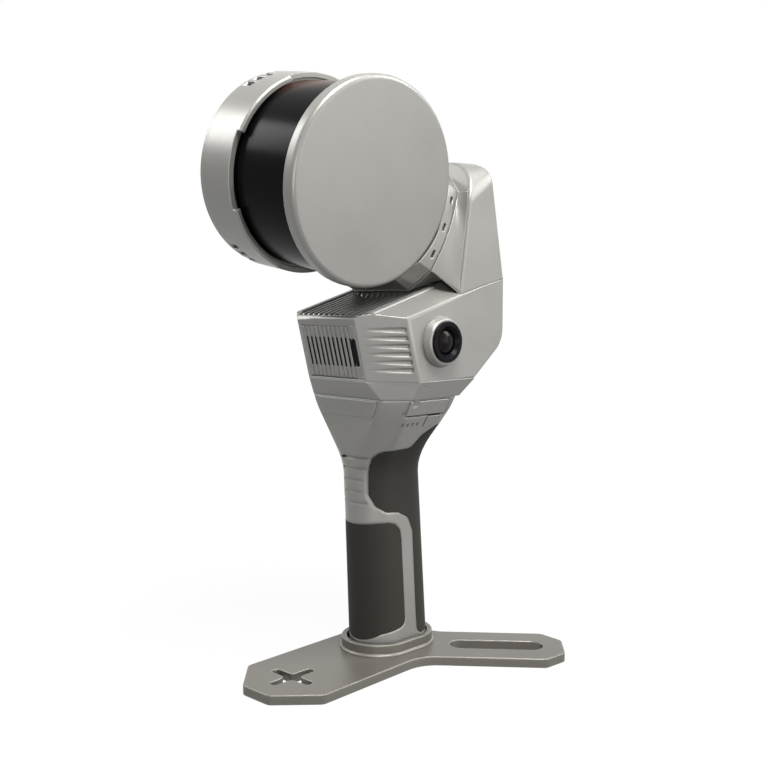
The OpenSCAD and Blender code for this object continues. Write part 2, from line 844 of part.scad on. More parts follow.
module lower_housing() {
  color(silver) difference() {
    union() {
      difference() {
        lofted(TRAY_LOWER, neck_top, TRAY_UPPER, seam_z);
        translate([-tray_half_w + 5, tray_front + 8, neck_top + tray_wall])
          cube([2 * tray_half_w - 10, tray_back - tray_front - 12, seam_z - neck_top]);
      }
      board_corners() disc(board_post_r, neck_top + 1, board_z);
    }
    translate([0, -4, neck_top - 1]) linear_extrude(tray_wall + 2) round_bar(30, 16);
    translate([tray_half_w + 3, -11.6, mix(neck_top, seam_z, 0.72)]) rotate([0, 90 + 26, 0])
      cylinder(r = 0.5, h = 6, center = true);
  }
}

// Side outline of the body: leaning front, sloping roof, arm seam and the cut lower back
back_round_z = chamfer_z(body_back) + back_round_r * tan(chamfer_angle_half);
BODY_OUTLINE = concat(
  [[seam_front, seam_z], [lip_front, lip_z], [arm_front, roof_z(arm_front)],
   [arm_front, arm_seam_z0], [body_back, arm_seam_z(body_back)]],
  [for (a = [0 : -(90 - chamfer_angle) / 6 : chamfer_angle - 90 - 0.01])
    [body_back - back_round_r * (1 - cos(a)), back_round_z + back_round_r * sin(a)]],
  [[chamfer_y(seam_z), seam_z]]);

// Inside of the body, with thicker walls at the front and under the roof
inner_roof = roof_depth / cos(roof_slope);
inner_front = front_wall / cos(front_lean);
inner_top_z = let (a = tan(front_lean), b = roof_rise)
  (lip_z - inner_roof + b * (seam_front + inner_front - lip_front + a * seam_z)) / (1 + a * b);
CAVITY_OUTLINE = [[front_y(seam_z - 1) + inner_front, seam_z - 1],
  [front_y(inner_top_z) + inner_front, inner_top_z],
  [arm_front - 3, roof_z(arm_front - 3) - inner_roof],
  [arm_front + case_wall, arm_seam_z(arm_front + case_wall) + 1],
  [body_back - case_wall, arm_seam_z(body_back - case_wall) + 1],
  [body_back - case_wall, chamfer_z(body_back - case_wall) + case_wall * 1.3],
  [chamfer_y(seam_z - 1) - case_wall * 1.3, seam_z - 1]];

// Wedge outside a front corner's cut, moved inwards by d
module corner_wedge(d) {
  z0 = seam_z - 2;
  z1 = lip_z + 8;
  run = body_half_w - front_half_w;
  function wedge(z) = let (a = [front_half_w - d, front_y(z) + d * 0.4], b = a + [run, corner_cut] + [d * 0.4, -d * 0.4])
    [a - 0.3 * [run, corner_cut], a + [run, -corner_cut], b + 0.3 * [run, corner_cut]];
  lofted(wedge(z0), z0, wedge(z1), z1);
}

module both_sides() {
  children();
  left() children();
}

groove_top_z = 178.8;
groove_len = 24;
groove_cut_depth = 1.1;
groove_fade = asin(groove_cut_depth / groove_len);
groove_edge = 1.2;

// One groove with a round end, fading out towards the front
module corner_groove_cutter() {
  translate([0, 0, -groove_len]) rotate_extrude()
    polygon(concat([[0, 0], [corner_groove_r, 0], [corner_groove_r, groove_len - corner_groove_r]],
      [for (a = [15 : 15 : 75])
        [corner_groove_r * cos(a), groove_len - corner_groove_r + corner_groove_r * sin(a)]],
      [[0, groove_len]]));
}

module corner_grooves() {
  for (k = [0 : corner_groove_n - 1]) {
    z = groove_top_z - k * corner_groove_pitch;
    out = corner_groove_r - groove_cut_depth;
    dir = atan2(corner_cut, body_half_w - front_half_w);
    translate([body_half_w - groove_edge, front_y(z) + corner_cut - groove_edge, z]) rotate(dir)
      translate([0, -out, 0]) rotate(groove_fade) rotate([0, 90, 0]) corner_groove_cutter();
  }
}

grille_z0 = 1.1;
grille_gap = 0.2;
grille_ledge = 2.2;
cam_hole_gap = 0.3;

module main_housing() {
  color(silver) difference() {
    across(2 * body_half_w) polygon(BODY_OUTLINE);
    both_sides() {
      corner_wedge(0);
      corner_grooves();
      camera_axis() disc(barrel_r + cam_hole_gap, -14, 5);
      roof() translate([0, -10, 0]) rotate([-90, 0, 0]) linear_extrude(roof_len + 12)
        polygon([[fin_half_w + 0.7, 0], [body_half_w + 8, shoulder_drop * (body_half_w + 8 - fin_half_w)
          / (body_half_w - fin_half_w)], [body_half_w + 8, -9], [fin_half_w + 0.7, -9]]);
    }
    difference() {
      across(2 * cavity_half_w) polygon(CAVITY_OUTLINE);
      both_sides() corner_wedge(case_wall + 1);
    }
    difference() {
      roof() translate([-fin_half_w - sink_gap, case_wall, -sink_drop])
        cube([2 * (fin_half_w + sink_gap), sink_len + 2 * sink_gap, sink_drop + 2]);
      both_sides() corner_wedge(sink_wall);
    }
    roof() translate([-fin_half_w + 3, case_wall + 4, -roof_depth - 2])
      cube([2 * fin_half_w - 6, roof_len - 16, roof_depth]);
    front_face() {
      translate([-grille_half_w - grille_gap, -2, grille_z0 - grille_gap])
        cube([2 * (grille_half_w + grille_gap), grille_t + 2, grille_h + 2 * grille_gap]);
      translate([-grille_half_w + grille_ledge, 0, grille_z0 + grille_ledge])
        cube([2 * (grille_half_w - grille_ledge), front_wall + 2, grille_h - 2 * grille_ledge]);
    }
  }
}

rib_proud = 0.9;
rib_w = louvre_pitch - louvre_w;
louvre_x0 = -18.4;
side_slot_x = 18.6;
side_slot_w = 3;

module front_grille() {
  color(silver) front_face() translate([0, 0, grille_z0]) difference() {
    union() {
      translate([-grille_half_w, rib_proud, 0]) cube([2 * grille_half_w, grille_t - rib_proud, grille_h]);
      for (s = [-1, 1]) translate([s > 0 ? grille_half_w - 4.6 : -grille_half_w, 0, 0])
        cube([s > 0 ? 4.6 : 1.2, grille_t, grille_h]);
      for (k = [0 : louvre_n]) translate([louvre_x0 + k * louvre_pitch - rib_w / 2, 0, 0.8])
        cube([rib_w, grille_t, grille_h - 1.6]);
    }
    for (k = [0 : louvre_n - 1]) translate([louvre_x0 + (k + 0.5) * louvre_pitch - louvre_w / 2, -1,
      (grille_h - louvre_h) / 2]) cube([louvre_w, grille_t + 2, louvre_h]);
    translate([side_slot_x, grille_t + 1, grille_h / 2]) rotate([90, 0, 0]) linear_extrude(grille_t + 2)
      rotate(90) round_bar(louvre_h, side_slot_w);
  }
}

sink_len = roof_len - case_wall - 2 * sink_gap - sink_drop * roof_rise;
bracket_clear = 0.5;

module heat_sink() {
  color("#8d8d88") difference() {
    roof() translate([0, case_wall + sink_gap, 0]) {
      translate([-fin_half_w, 0, -sink_drop]) cube([2 * fin_half_w, sink_len, sink_base_t]);
      for (k = [0 : fin_n - 1]) {
        x = mix(-fin_half_w, fin_half_w - fin_t, k / (fin_n - 1));
        translate([x, 0, 0]) rotate([90, 0, 90]) linear_extrude(fin_t)
          polygon([[0, -sink_drop + 0.5], [0, -2], [2.2, 0], [sink_len, 0], [sink_len, -sink_drop + 0.5]]);
      }
    }
    turning_axis() disc(bracket_turn_r + bracket_clear, rotor_seat - 0.3, bracket_rim + 20);
    both_sides() corner_wedge(sink_wall + sink_gap);
  }
}

// Cooling fan behind the grille

fan_size = 22;
fan_t = 8;
fan_bore = 10.2;
fan_hub_r = 4.8;
fan_pin_r = 1;
fan_blades = 7;
fan_z = 13.4;
fan_x = -1.5;
fan_tip_gap = 0.6;

module fan_axis() {
  front_face() translate([fan_x, front_wall, fan_z]) rotate([-90, 0, 0]) children();
}

module fan_frame() {
  color(black) fan_axis() {
    difference() {
      linear_extrude(fan_t) round_rect(fan_size, fan_size, 2);
      translate([0, 0, -1]) cylinder(r = fan_bore, h = fan_t + 2);
    }
    translate([0, 0, fan_t - 1.2]) cylinder(r = fan_hub_r, h = 1.2);
    for (a = [45 : 90 : 315]) rotate(a) translate([0, -0.8, fan_t - 1.2]) cube([fan_bore + 0.4, 1.6, 1.2]);
    cylinder(r = fan_pin_r, h = fan_t - 0.6);
  }
}

module fan_rotor() {
  color(black) fan_axis() difference() {
    union() {
      disc(fan_hub_r, 0.6, fan_t - 1.7);
      for (k = [0 : fan_blades - 1]) rotate(k * 360 / fan_blades)
        translate([fan_hub_r - 0.8, 0, (fan_t - 1.1) / 2]) rotate([38, 0, 0])
          translate([0, -3, -0.5]) cube([fan_bore - fan_tip_gap - fan_hub_r + 0.4, 6, 1]);
    }
    disc(fan_pin_r + run_fit, 0, fan_t);
  }
}

// Boards inside the body

module main_board() {
  color(board_green) difference() {
    translate([-board_size[0] / 2, board_mid_y - board_size[1] / 2, board_z])
      cube([board_size[0], board_size[1], board_t]);
    board_corners() disc(1.6, board_z - 1, board_z + board_t + 1);
  }
}

barrel_len = 17;
camera_board_size = 21;
camera_board_t = 1.6;
imu_size = 15;
imu_h = 5.5;
imu_lid = 11;
imu_lid_h = 1.5;
imu_y = -6;
imu_room = 1.7;
compute_w = 30;
compute_h = 4;
compute_y = -14;
compute_room = 1.2;
compute_fins = 6;
compute_fin_t = 2;
compute_fin_h = 4.5;
module_room = 2.5;
camera_room = body_half_w + bezel_h - barrel_len - camera_board_t;
imu_x = imu_room - camera_room;
compute_x = imu_x + imu_size + module_room;
compute_len = camera_room - compute_room - compute_x;

module compute_module() {
  color("#3a3d42") translate([compute_x, compute_y, board_z + board_t]) {
    cube([compute_len, compute_w, compute_h]);
    for (k = [0 : compute_fins - 1])
      translate([mix(compute_fin_t, compute_len - 2 * compute_fin_t, k / (compute_fins - 1)), compute_fin_t,
        compute_h - 0.5]) cube([compute_fin_t, compute_w - 2 * compute_fin_t, compute_fin_h]);
  }
}

module imu_module() {
  color(steel) translate([imu_x, imu_y, board_z + board_t]) {
    cube([imu_size, imu_size, imu_h]);
    translate([(imu_size - imu_lid) / 2, (imu_size - imu_lid) / 2, imu_h - 0.5])
      cube([imu_lid, imu_lid, imu_lid_h]);
  }
}

// Cameras

module camera_bezel_right() {
  color(silver) camera_axis() rotate_extrude()
    polygon([[barrel_r + cam_hole_gap, 0], [bezel_r, 0], [bezel_r - 0.2, 1], [bezel_front_r + 0.3, bezel_h - 0.6],
      [bezel_front_r - 0.2, bezel_h], [barrel_r + cam_hole_gap, bezel_h]]);
}

ring_t = 1.3;

module camera_barrel_right() {
  color(black) camera_axis() rotate_extrude()
    polygon([[lens_r, bezel_h - barrel_len], [barrel_r, bezel_h - barrel_len], [barrel_r, bezel_h],
      [barrel_ring_r, bezel_h], [barrel_ring_r, bezel_h + ring_t - 0.4], [barrel_ring_r - 0.4, bezel_h + ring_t],
      [lens_r + 1.6, bezel_h + ring_t], [lens_r, bezel_h - 0.6]]);
}

lens_rise = 2.6;
lens_seat = 3;

// Domed front element of a lens with a flat back
module camera_lens_right() {
  dome_r = (lens_r * lens_r + lens_rise * lens_rise) / (2 * lens_rise);
  z0 = bezel_h - 1.2;
  color("#0c0d12") camera_axis() intersection() {
    disc(lens_r - 0.05, z0 - lens_seat, z0 + lens_rise);
    translate([0, 0, z0 + lens_rise - dome_r]) sphere(dome_r);
  }
}

module camera_board_right() {
  color(board_green) camera_axis() translate([0, 0, bezel_h - barrel_len - camera_board_t]) {
    linear_extrude(camera_board_t) square(camera_board_size, center = true);
    linear_extrude(3) square(8, center = true);
  }
}

module camera_bezel_left() left() camera_bezel_right();
module camera_barrel_left() left() camera_barrel_right();
module camera_lens_left() left() camera_lens_right();
module camera_board_left() left() camera_board_right();

// Arm

function arm_front_y(z) = arm_front + (z - arm_seam_z0) * tan(arm_front_lean);
function arm_back_y(z) = body_back - (z - arm_seam_z(body_back)) * tan(arm_back_lean);

// Front to back place of the plane behind the turning bracket, moved back by d
function seat_y(z, d) =
  head_y + (seat_back - rotor_seat + d + sin(head_tilt) * (z - head_z)) / cos(head_tilt);

// Half outline of the arm seen from the front: up the side and round the top corner
arm_steps = 8;
function arm_side(hw, z0, top, r) = concat([[hw, z0]],
  [for (k = [0 : arm_steps])
    [hw - r + r * cos(90 * k / arm_steps), top - r + r * sin(90 * k / arm_steps)]]);

function reversed(list) = [for (i = [len(list) - 1 : -1 : 0]) list[i]];
function both_halves(half) = concat(half, [for (p = reversed(half)) [-p[0], p[1], p[2]]]);

// Solid between the arm's front and back, drawn in by d all round and by seat_in behind the bracket's seat
module arm_solid(d, seat_in, drop) {
  front = both_halves([
    for (p = arm_side(body_half_w - d, arm_seam_z0 + arm_seam_gap - drop, arm_top - d, arm_front_r - d))
      [p[0], max(arm_front_y(p[1]) + d, seat_y(p[1], seat_in)), p[1]]]);
  back = both_halves([
    for (p = arm_side(body_half_w - d, arm_seam_z(body_back) + arm_seam_gap - drop, arm_back_top - d,
      arm_back_r - d))
      [p[0], arm_back_y(p[1]) - d, p[1]]]);
  n = len(front);
  polyhedron(
    points = concat(front, back),
    faces = concat(
      [for (i = [0 : n - 1]) [i, (i + 1) % n, n + (i + 1) % n]],
      [for (i = [0 : n - 1]) [i, n + (i + 1) % n, n + i]],
      [for (i = [0 : n / 2 - 2]) [n - 1 - i, n - 2 - i, i + 1, i]],
      [for (i = [0 : n / 2 - 2]) [n + i, n + i + 1, 2 * n - 2 - i, 2 * n - 1 - i]]));
}

// Outline of the turning bracket with bowed sides, grown by d, counter-clockwise
bracket_steps = 10;
bracket_flat = bracket_half_h - bracket_cut;
bracket_end_w = bracket_half_w - bracket_bow;
bracket_turn_r = max(norm([bracket_end_w, bracket_flat]), norm([bracket_end_w - bracket_cut, bracket_half_h]));

function bracket_side(d) = [
  for (k = [0 : bracket_steps])
    let (v = 2 * k / bracket_steps - 1)
    [bracket_half_w - bracket_bow * v * v + d, v * bracket_flat]];
function bracket_outline(d) =
  let (side = bracket_side(d), x = bracket_end_w - bracket_cut + d, y = bracket_half_h + d)
  concat(side, [[x, y], [-x, y]], [for (p = reversed(side)) [-p[0], p[1]]], [[-x, -y], [x, -y]]);

seat_grow = 0.2;
motor_room_r = frame_r + 0.6;
motor_room_end = rear_plate - rear_plate_t - 0.5;
boss_in = 0.5;
boss_top_in = 3;
boss_foot_w = 26;
boss_foot_z = roof_z(arm_front) + 2.2;
boss_top_w = 30;
boss_top_z = arm_top - 6;

// Point on the turning axis' plane at height z along the axis, in the part's frame
function seat_point(p, z) = [p[0],
  head_y - z * cos(head_tilt) + p[1] * sin(head_tilt),
  head_z + z * sin(head_tilt) + p[1] * cos(head_tilt)];

function on_right(i, n) = i < n / 2 - 1 || i == n - 1;

// Twisted block that carries the bracket's seat on the arm's front
module arm_boss() {
  seat = [for (p = bracket_outline(seat_grow)) seat_point(p, rotor_seat)];
  z0 = arm_seam_z0 + 1.2;
  z1 = arm_top - arm_front_r + 4.8;
  side = [for (k = [0 : bracket_steps])
    let (z = mix(z0, z1, k / bracket_steps), in = mix(boss_in, boss_top_in, k / bracket_steps))
    [body_half_w - in, arm_front_y(z) + in, z]];
  top = [boss_top_w, seat_y(boss_top_z, 2), boss_top_z];
  foot = [boss_foot_w, arm_front_y(boss_foot_z) + 2, boss_foot_z];
  root = concat(side, [top, [-top[0], top[1], top[2]]],
    [for (p = reversed(side)) [-p[0], p[1], p[2]]], [[-foot[0], foot[1], foot[2]], foot]);
  n = len(seat);
  polyhedron(
    points = concat(root, seat),
    faces = concat(
      [for (i = [0 : n - 1]) let (j = (i + 1) % n) on_right(i, n) ? [i, n + i, n + j] : [i, n + i, j]],
      [for (i = [0 : n - 1]) let (j = (i + 1) % n) on_right(i, n) ? [i, n + j, j] : [n + i, n + j, j]],
      [[for (i = [0 : n - 1]) 2 * n - 1 - i]],
      [for (i = [0 : bracket_steps - 1]) [i, i + 1, n - 4 - i, n - 3 - i]],
      [[bracket_steps, bracket_steps + 1, bracket_steps + 2, bracket_steps + 3]],
      [[n - 1, 0, n - 3, n - 2]]));
}

module arm_cover() {
  color(silver) difference() {
    union() {
      arm_solid(0, 0, 0);
      arm_boss();
    }
    arm_solid(case_wall, seat_wall, 6);
    turning_axis() {
      disc(motor_room_r, motor_room_end, frame_front);
      disc(hub_flange_r + hub_gap, frame_front - 1, rotor_seat + 1);
    }
  }
}

// Head drive

module motor_frame() {
  color("#7d8085") turning_axis() difference() {
    union() {
      ring(frame_r, bearing_r, frame_front - frame_t, frame_front);
      ring(tube_r, bearing_r, tube_end, frame_front);
      for (a = [-90, 30, 150]) rotate(a) translate([post_ring_r, 0, 0])
        disc(post_r, rear_plate, frame_front - 1);
      difference() {
        ring(post_ring_r + post_r, slip_r, rear_plate - rear_plate_t, rear_plate);
        translate([-1.5 * frame_r, frame_flat, rear_plate - rear_plate_t - 1])
          cube([3 * frame_r, 1.5 * frame_r, rear_plate_t + 3]);
      }
    }
    disc(hub_flange_r - 6, frame_front - 0.2, frame_front + 1);
  }
}

stator_slots = 9;

module motor_stator() {
  color("#a06a3c") turning_axis() difference() {
    ring(stator_r, tube_r, frame_front - 10.5, frame_front - 4);
    for (k = [0 : stator_slots - 1]) rotate(k * 360 / stator_slots)
      translate([tube_r + 1.4, -0.7, frame_front - 12]) cube([6, 1.4, 10]);
  }
}

module motor_bell() {
  color("#54575c") turning_axis() {
    ring(bell_r, bell_in_r, bell_end, frame_front - 3.5);
    ring(bell_r, shaft_r, bell_end, bell_end + bell_floor);
  }
}

module head_bearings() {
  color(steel) turning_axis() {
    ring(bearing_r, shaft_r + run_fit, frame_front - 0.3 - bearing_w, frame_front - 0.3);
    ring(bearing_r, shaft_r + run_fit, tube_end + 0.2, tube_end + 0.2 + bearing_w);
  }
}

module slip_ring() {
  color("#2f3a46") turning_axis() {
    disc(slip_r, rear_plate - slip_len + 0.9, rear_plate + 0.9);
    disc(slip_r + 3, rear_plate - rear_plate_t - 1.5, rear_plate - rear_plate_t);
  }
}

module head_hub() {
  color(steel) turning_axis() {
    disc(hub_flange_r, bracket_base - hub_flange_t, bracket_base);
    disc(shaft_r, bell_end, bracket_base - hub_flange_t + 0.5);
  }
}

bracket_screw_r = 1.5;
bracket_screw_gap = 0.1;
bracket_screw_x = -27;
bracket_screw_y = 10;
screw_bite = 5.1;
wall_slot_len = 4.6;
wall_slot_w = 1.9;
wall_slot_pitch = 15.5;
wall_slot_in = 3.2;
wall_slot_depth = 6;

module bracket_screw_places() {
  turning_axis() rotate(finder_turn) for (sx = [0, 1]) for (sy = [-1, 1])
    translate([bracket_screw_x + sx * 8.5, sy * bracket_screw_y, 0]) children();
}

module head_bracket() {
  color(silver) difference() {
    turning_axis() translate([0, 0, bracket_base]) linear_extrude(bracket_rim - bracket_base)
      polygon(bracket_outline(0));
    finder_axis() disc(cup_r + finder_clear, 1.6 * finder_back, 1.6 * finder_front);
    bracket_screw_places() {
      disc(bracket_screw_r + bracket_screw_gap, bracket_base - 1, bracket_rim + 4);
      disc(3, bracket_base - 1, bracket_base + 2.2);
    }
    turning_axis() for (s = [-1, 1]) for (k = [-1 : 1])
      translate([s * (bracket_half_w - bracket_bow / 2), k * wall_slot_pitch, bracket_base + wall_slot_in])
        rotate([0, 90, 0]) linear_extrude(wall_slot_depth, center = true) rotate(90) round_bar(wall_slot_len, wall_slot_w);
  }
}

module bracket_screws() {
  color(steel) bracket_screw_places() {
    disc(2.8, bracket_base + 0.2, bracket_base + 2.2);
    disc(bracket_screw_r, bracket_base + 2, -cup_r + screw_bite);
  }
}

// Range finder

CUP_POCKET_ANGLES = [138, 145, 152, 259, 266, 273];
CASTELLATION_ANGLES = [28, 118, 208, 298];
castellation_width = 44;
cup_wall = 3.4;
cup_floor = 3.5;
pocket_depth = 2.4;
pocket_len = 8.5;
pocket_w = 4.2;
pocket_slope = atan(pocket_depth / pocket_len);
castellation_h = 2.6;

module lidar_cup() {
  in_r = window_r + window_gap;
  color(silver) difference() {
    finder_axis() {
      difference() {
        rotate_extrude() polygon([[0, cup_back], [cup_r, cup_back], [cup_r, cup_lip - 0.8], [cup_r - 0.8, cup_lip],
          [in_r, cup_lip], [in_r, cup_lip - lip_depth], [window_r - window_wall, cup_lip - lip_depth],
          [window_r - window_wall, cup_back + cup_floor], [0, cup_back + cup_floor]]);
        for (a = CUP_POCKET_ANGLES) rotate(a) translate([cup_r - pocket_depth, 0, cup_back])
          rotate([0, pocket_slope, 0]) translate([0, -pocket_w / 2, -2])
            cube([2 * pocket_depth, pocket_w, pocket_len + 6]);
        for (a = CASTELLATION_ANGLES) rotate(a - castellation_width / 2)
          translate([0, 0, cup_lip - castellation_h]) rotate_extrude(angle = castellation_width)
            translate([in_r - 1, 0]) square([cup_r, castellation_h + 1]);
        disc(finder_pin_r, finder_back, cup_back + cup_floor + 1);
      }
    }
    bracket_screw_places() disc(bracket_screw_r + bracket_screw_gap, -cup_r - 4, -cup_r + screw_bite + 0.3);
  }
}

module lidar_end_plate() {
  color(silver) finder_axis() rotate_extrude()
    polygon([[0, finder_back], [cup_r - 2, finder_back], [cup_r - 0.6, finder_back + 1.2], [cup_r - 0.6, cup_back - 0.7],
      [cup_r - 1.4, cup_back], [0, cup_back]]);
}

module lidar_window() {
  color(black) finder_axis() ring(window_r, window_r - window_wall, cup_lip - lip_depth, cap_back);
}

cap_round = 1.8;
spigot_t = 2;

module lidar_cap() {
  color(silver) finder_axis() rotate_extrude() polygon(concat(
    [[0, cap_back - spigot_t], [window_r - window_wall - 0.3, cap_back - spigot_t],
     [window_r - window_wall - 0.3, cap_back], [cup_r - 0.8, cap_back], [cup_r, cap_back + 0.8]],
    [for (a = [0 : 15 : 90]) [cup_r - cap_round + cap_round * cos(a), finder_front - cap_round + cap_round * sin(a)]],
    [[0, finder_front]]));
}

finder_pin_r = 4;
spinner_room = 5.5;
spinner_r = window_r - window_wall - spinner_room;
spinner_gap = 0.8;
spinner_hub_r = 7.5;

module lidar_shaft() {
  color(steel) finder_axis() disc(finder_pin_r, cup_back, cap_back - spigot_t);
}

module lidar_spinner() {
  z0 = cup_back + cup_floor + spinner_gap;
  z1 = cap_back - spigot_t - spinner_gap;
  color("#2b2d31") finder_axis() difference() {
    union() {
      disc(spinner_r, z0, z0 + 5);
      disc(spinner_hub_r, z0, z1);
      disc(spinner_r, z1 - 3, z1);
      for (s = [-1, 1]) translate([-26, s * 14 - 5, z0 + 4]) cube([52, 10, z1 - z0 - 6]);
    }
    disc(finder_pin_r + run_fit, z0 - 1, z1 + 1);
    for (s = [-1, 1]) translate([20, s * 14, (z0 + z1) / 2]) rotate([0, 90, 0]) cylinder(r = 4.2, h = 12);
  }
}

base_plate();
base_collar();
base_screws();
handle_shell();
front_grip_pad();
rear_grip_pad();
handle_end_cap();
thread_inserts();
battery_sled();
battery_cells();
battery_contacts();
port_cover();
port_block();
status_lights();
power_button();
button_board();
lower_housing();
main_housing();
front_grille();
heat_sink();
fan_frame();
fan_rotor();
main_board();
compute_module();
imu_module();
camera_bezel_right();
camera_bezel_left();
camera_barrel_right();
camera_barrel_left();
camera_lens_right();
camera_lens_left();
camera_board_right();
camera_board_left();
arm_cover();
motor_frame();
motor_stator();
motor_bell();
head_bearings();
slip_ring();
head_hub();
head_bracket();
bracket_screws();
lidar_cup();
lidar_end_plate();
lidar_window();
lidar_cap();
lidar_spinner();
lidar_shaft();
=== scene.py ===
"""Looks of the handheld laser scanner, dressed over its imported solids."""

import json
import logging
import math
from collections.abc import Callable, Iterator
from contextlib import contextmanager
from dataclasses import dataclass, field, replace
from enum import Enum

import bmesh
import bpy
from mathutils import Matrix, Vector


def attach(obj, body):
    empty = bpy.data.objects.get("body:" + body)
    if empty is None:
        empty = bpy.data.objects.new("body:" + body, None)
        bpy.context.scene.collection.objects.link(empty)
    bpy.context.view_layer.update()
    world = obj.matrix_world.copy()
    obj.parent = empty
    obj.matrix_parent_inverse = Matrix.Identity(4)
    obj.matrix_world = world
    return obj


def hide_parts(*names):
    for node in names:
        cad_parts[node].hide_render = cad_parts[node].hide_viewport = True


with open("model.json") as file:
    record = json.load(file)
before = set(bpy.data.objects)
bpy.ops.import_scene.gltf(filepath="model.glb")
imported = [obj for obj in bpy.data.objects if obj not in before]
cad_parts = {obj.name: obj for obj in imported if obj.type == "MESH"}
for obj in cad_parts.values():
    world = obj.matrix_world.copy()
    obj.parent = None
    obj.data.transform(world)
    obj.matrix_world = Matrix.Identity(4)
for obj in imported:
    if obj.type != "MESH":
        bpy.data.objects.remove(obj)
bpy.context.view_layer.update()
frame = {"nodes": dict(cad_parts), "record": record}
# A millimetre, and the distance below which two places count as one, in metres
MM = 0.001
SAME = 1e-6
# Least angle at a corner in degrees, and least upright share of a level face's normal
SHARP = 60.0
LEVEL = 0.5
LOG = logging.getLogger("scanner")

Edge = bmesh.types.BMEdge
Material = bpy.types.Material
Piece = bpy.types.Object
Point = tuple[float, float, float]
Socket = bpy.types.NodeSocket


class Body(Enum):
    """Rigid bodies of the scanner."""

    BASE = "scanner_body"
    HEAD = "head"
    SPINNER = "spinner"
    FAN = "fan"
    BUTTON = "button"
    FLAP = "port_flap"


class Slot(Enum):
    """Material slots of the record."""

    PLATE = "plate_metal"
    SILVER = "silver_paint"
    FINS = "fin_metal"
    RUBBER = "grip_rubber"
    WINDOW = "window_plastic"
    LENS = "lens_glass"
    BLACK = "black_plastic"
    LIGHT = "light_plastic"
    STEEL = "steel"
    BRASS = "insert_brass"
    WRAP = "cell_wrap"
    BOARD = "board"
    INNER = "inner_metal"
    COPPER = "copper_winding"


class Side(Enum):
    """Sides of the camera body, as the sign of X."""

    RIGHT = 1
    LEFT = -1


# Selecting and shaping


def only(piece: Piece) -> None:
    """Selects one object and makes it active.

    Args:
        piece: The object to select.
    """
    bpy.ops.object.select_all(action="DESELECT")
    piece.select_set(True)
    bpy.context.view_layer.objects.active = piece


@contextmanager
def editing(piece: Piece) -> Iterator[bmesh.types.BMesh]:
    """Opens a piece in edit mode with nothing selected.

    Args:
        piece: The mesh object to edit.

    Returns:
        The edit mesh, for selecting by place.
    """
    only(piece)
    bpy.ops.object.mode_set(mode="EDIT")
    bpy.ops.mesh.select_mode(type="EDGE")
    bpy.ops.mesh.select_all(action="DESELECT")
    try:
        yield bmesh.from_edit_mesh(piece.data)
    finally:
        bpy.ops.object.mode_set(mode="OBJECT")


def edge_angle(edge: Edge) -> float:
    """Angle between an edge's two faces.

    Args:
        edge: The edge to measure.

    Returns:
        The angle in degrees, or 0 at an open edge.
    """
    if len(edge.link_faces) != 2:
        return 0.0
    return math.degrees(edge.calc_face_angle(0.0))


def edge_middle(edge: Edge) -> Vector:
    """Middle point of an edge.

    Args:
        edge: The edge to measure.

    Returns:
        Its middle.
    """
    return (edge.verts[0].co + edge.verts[1].co) / 2


def round_edges(
    piece: Piece,
    width: float,
    steps: int,
    wanted: Callable[[Edge], bool],
    clamp: bool = True,
) -> int:
    """Rounds the chosen edges of a piece.

    Args:
        piece: The mesh object to change.
        width: Width of the round in metres.
        steps: Segments across the round.
        wanted: Says whether an edge is rounded.
        clamp: Whether the round narrows where edges are short.

    Returns:
        How many edges were chosen.
    """
    with editing(piece) as mesh:
        chosen = [e for e in mesh.edges if wanted(e)]
        for edge in chosen:
            edge.select_set(True)
        bmesh.update_edit_mesh(piece.data)
        if chosen:
            bpy.ops.mesh.bevel(
                offset=width, segments=steps, profile=0.5, affect="EDGES", clamp_overlap=clamp
            )
    return len(chosen)


def follow(start: Edge, sharp: float, bend: float) -> set[int]:
    """Follows a sharp edge both ways along the edges that carry on from it.

    Args:
        start: Edge to start from.
        sharp: Least angle between an edge's faces, in degrees.
        bend: Most that the line turns at a corner, in degrees.

    Returns:
        The numbers of the edges along the line.
    """
    found = {start.index}
    for corner in start.verts:
        edge, vert = start, corner
        while True:
            ahead = (vert.co - edge.other_vert(vert).co).normalized()
            nexts = [
                (ahead.angle((e.other_vert(vert).co - vert.co)), e)
                for e in vert.link_edges
                if e.index not in found and edge_angle(e) > sharp
            ]
            nexts = sorted((n for n in nexts if math.degrees(n[0]) < bend), key=lambda n: n[0])
            if not nexts:
                break
            edge = nexts[0][1]
            vert = edge.other_vert(vert)
            found.add(edge.index)
    return found


def merged_copy(node: str, name: str, flat: float = 0.4) -> Piece:
    """Copies a solid's mesh, joins its triangles and clears the lines across its flat faces.

    Args:
        node: Name of the solid.
        name: Name of the new piece.
        flat: Faces that differ by fewer degrees become one.

    Returns:
        The new piece.
    """
    piece = bpy.data.objects.new(name, frame["nodes"][node].data.copy())
    bpy.context.scene.collection.objects.link(piece)
    piece.data.materials.clear()
    with editing(piece):
        bpy.ops.mesh.customdata_custom_splitnormals_clear()
        bpy.ops.mesh.select_all(action="SELECT")
        bpy.ops.mesh.remove_doubles(threshold=0.004 * MM)
        if flat > 0:
            bpy.ops.mesh.dissolve_limited(angle_limit=math.radians(flat))
    return piece


def smooth(piece: Piece, angle: float = 40.0, flats: bool = False) -> None:
    """Shades a piece smooth.

    Args:
        piece: The mesh object to shade.
        angle: Edges sharper than this stay crisp, in degrees.
        flats: Whether large flat faces keep their own direction beside rounded edges.
    """
    only(piece)
    bpy.ops.object.shade_smooth_by_angle(angle=math.radians(angle))
    if flats:
        weight = piece.modifiers.new("flat_faces", "WEIGHTED_NORMAL")
        weight.keep_sharp = True
        weight.weight = 90
        bpy.ops.object.modifier_apply(modifier="flat_faces")


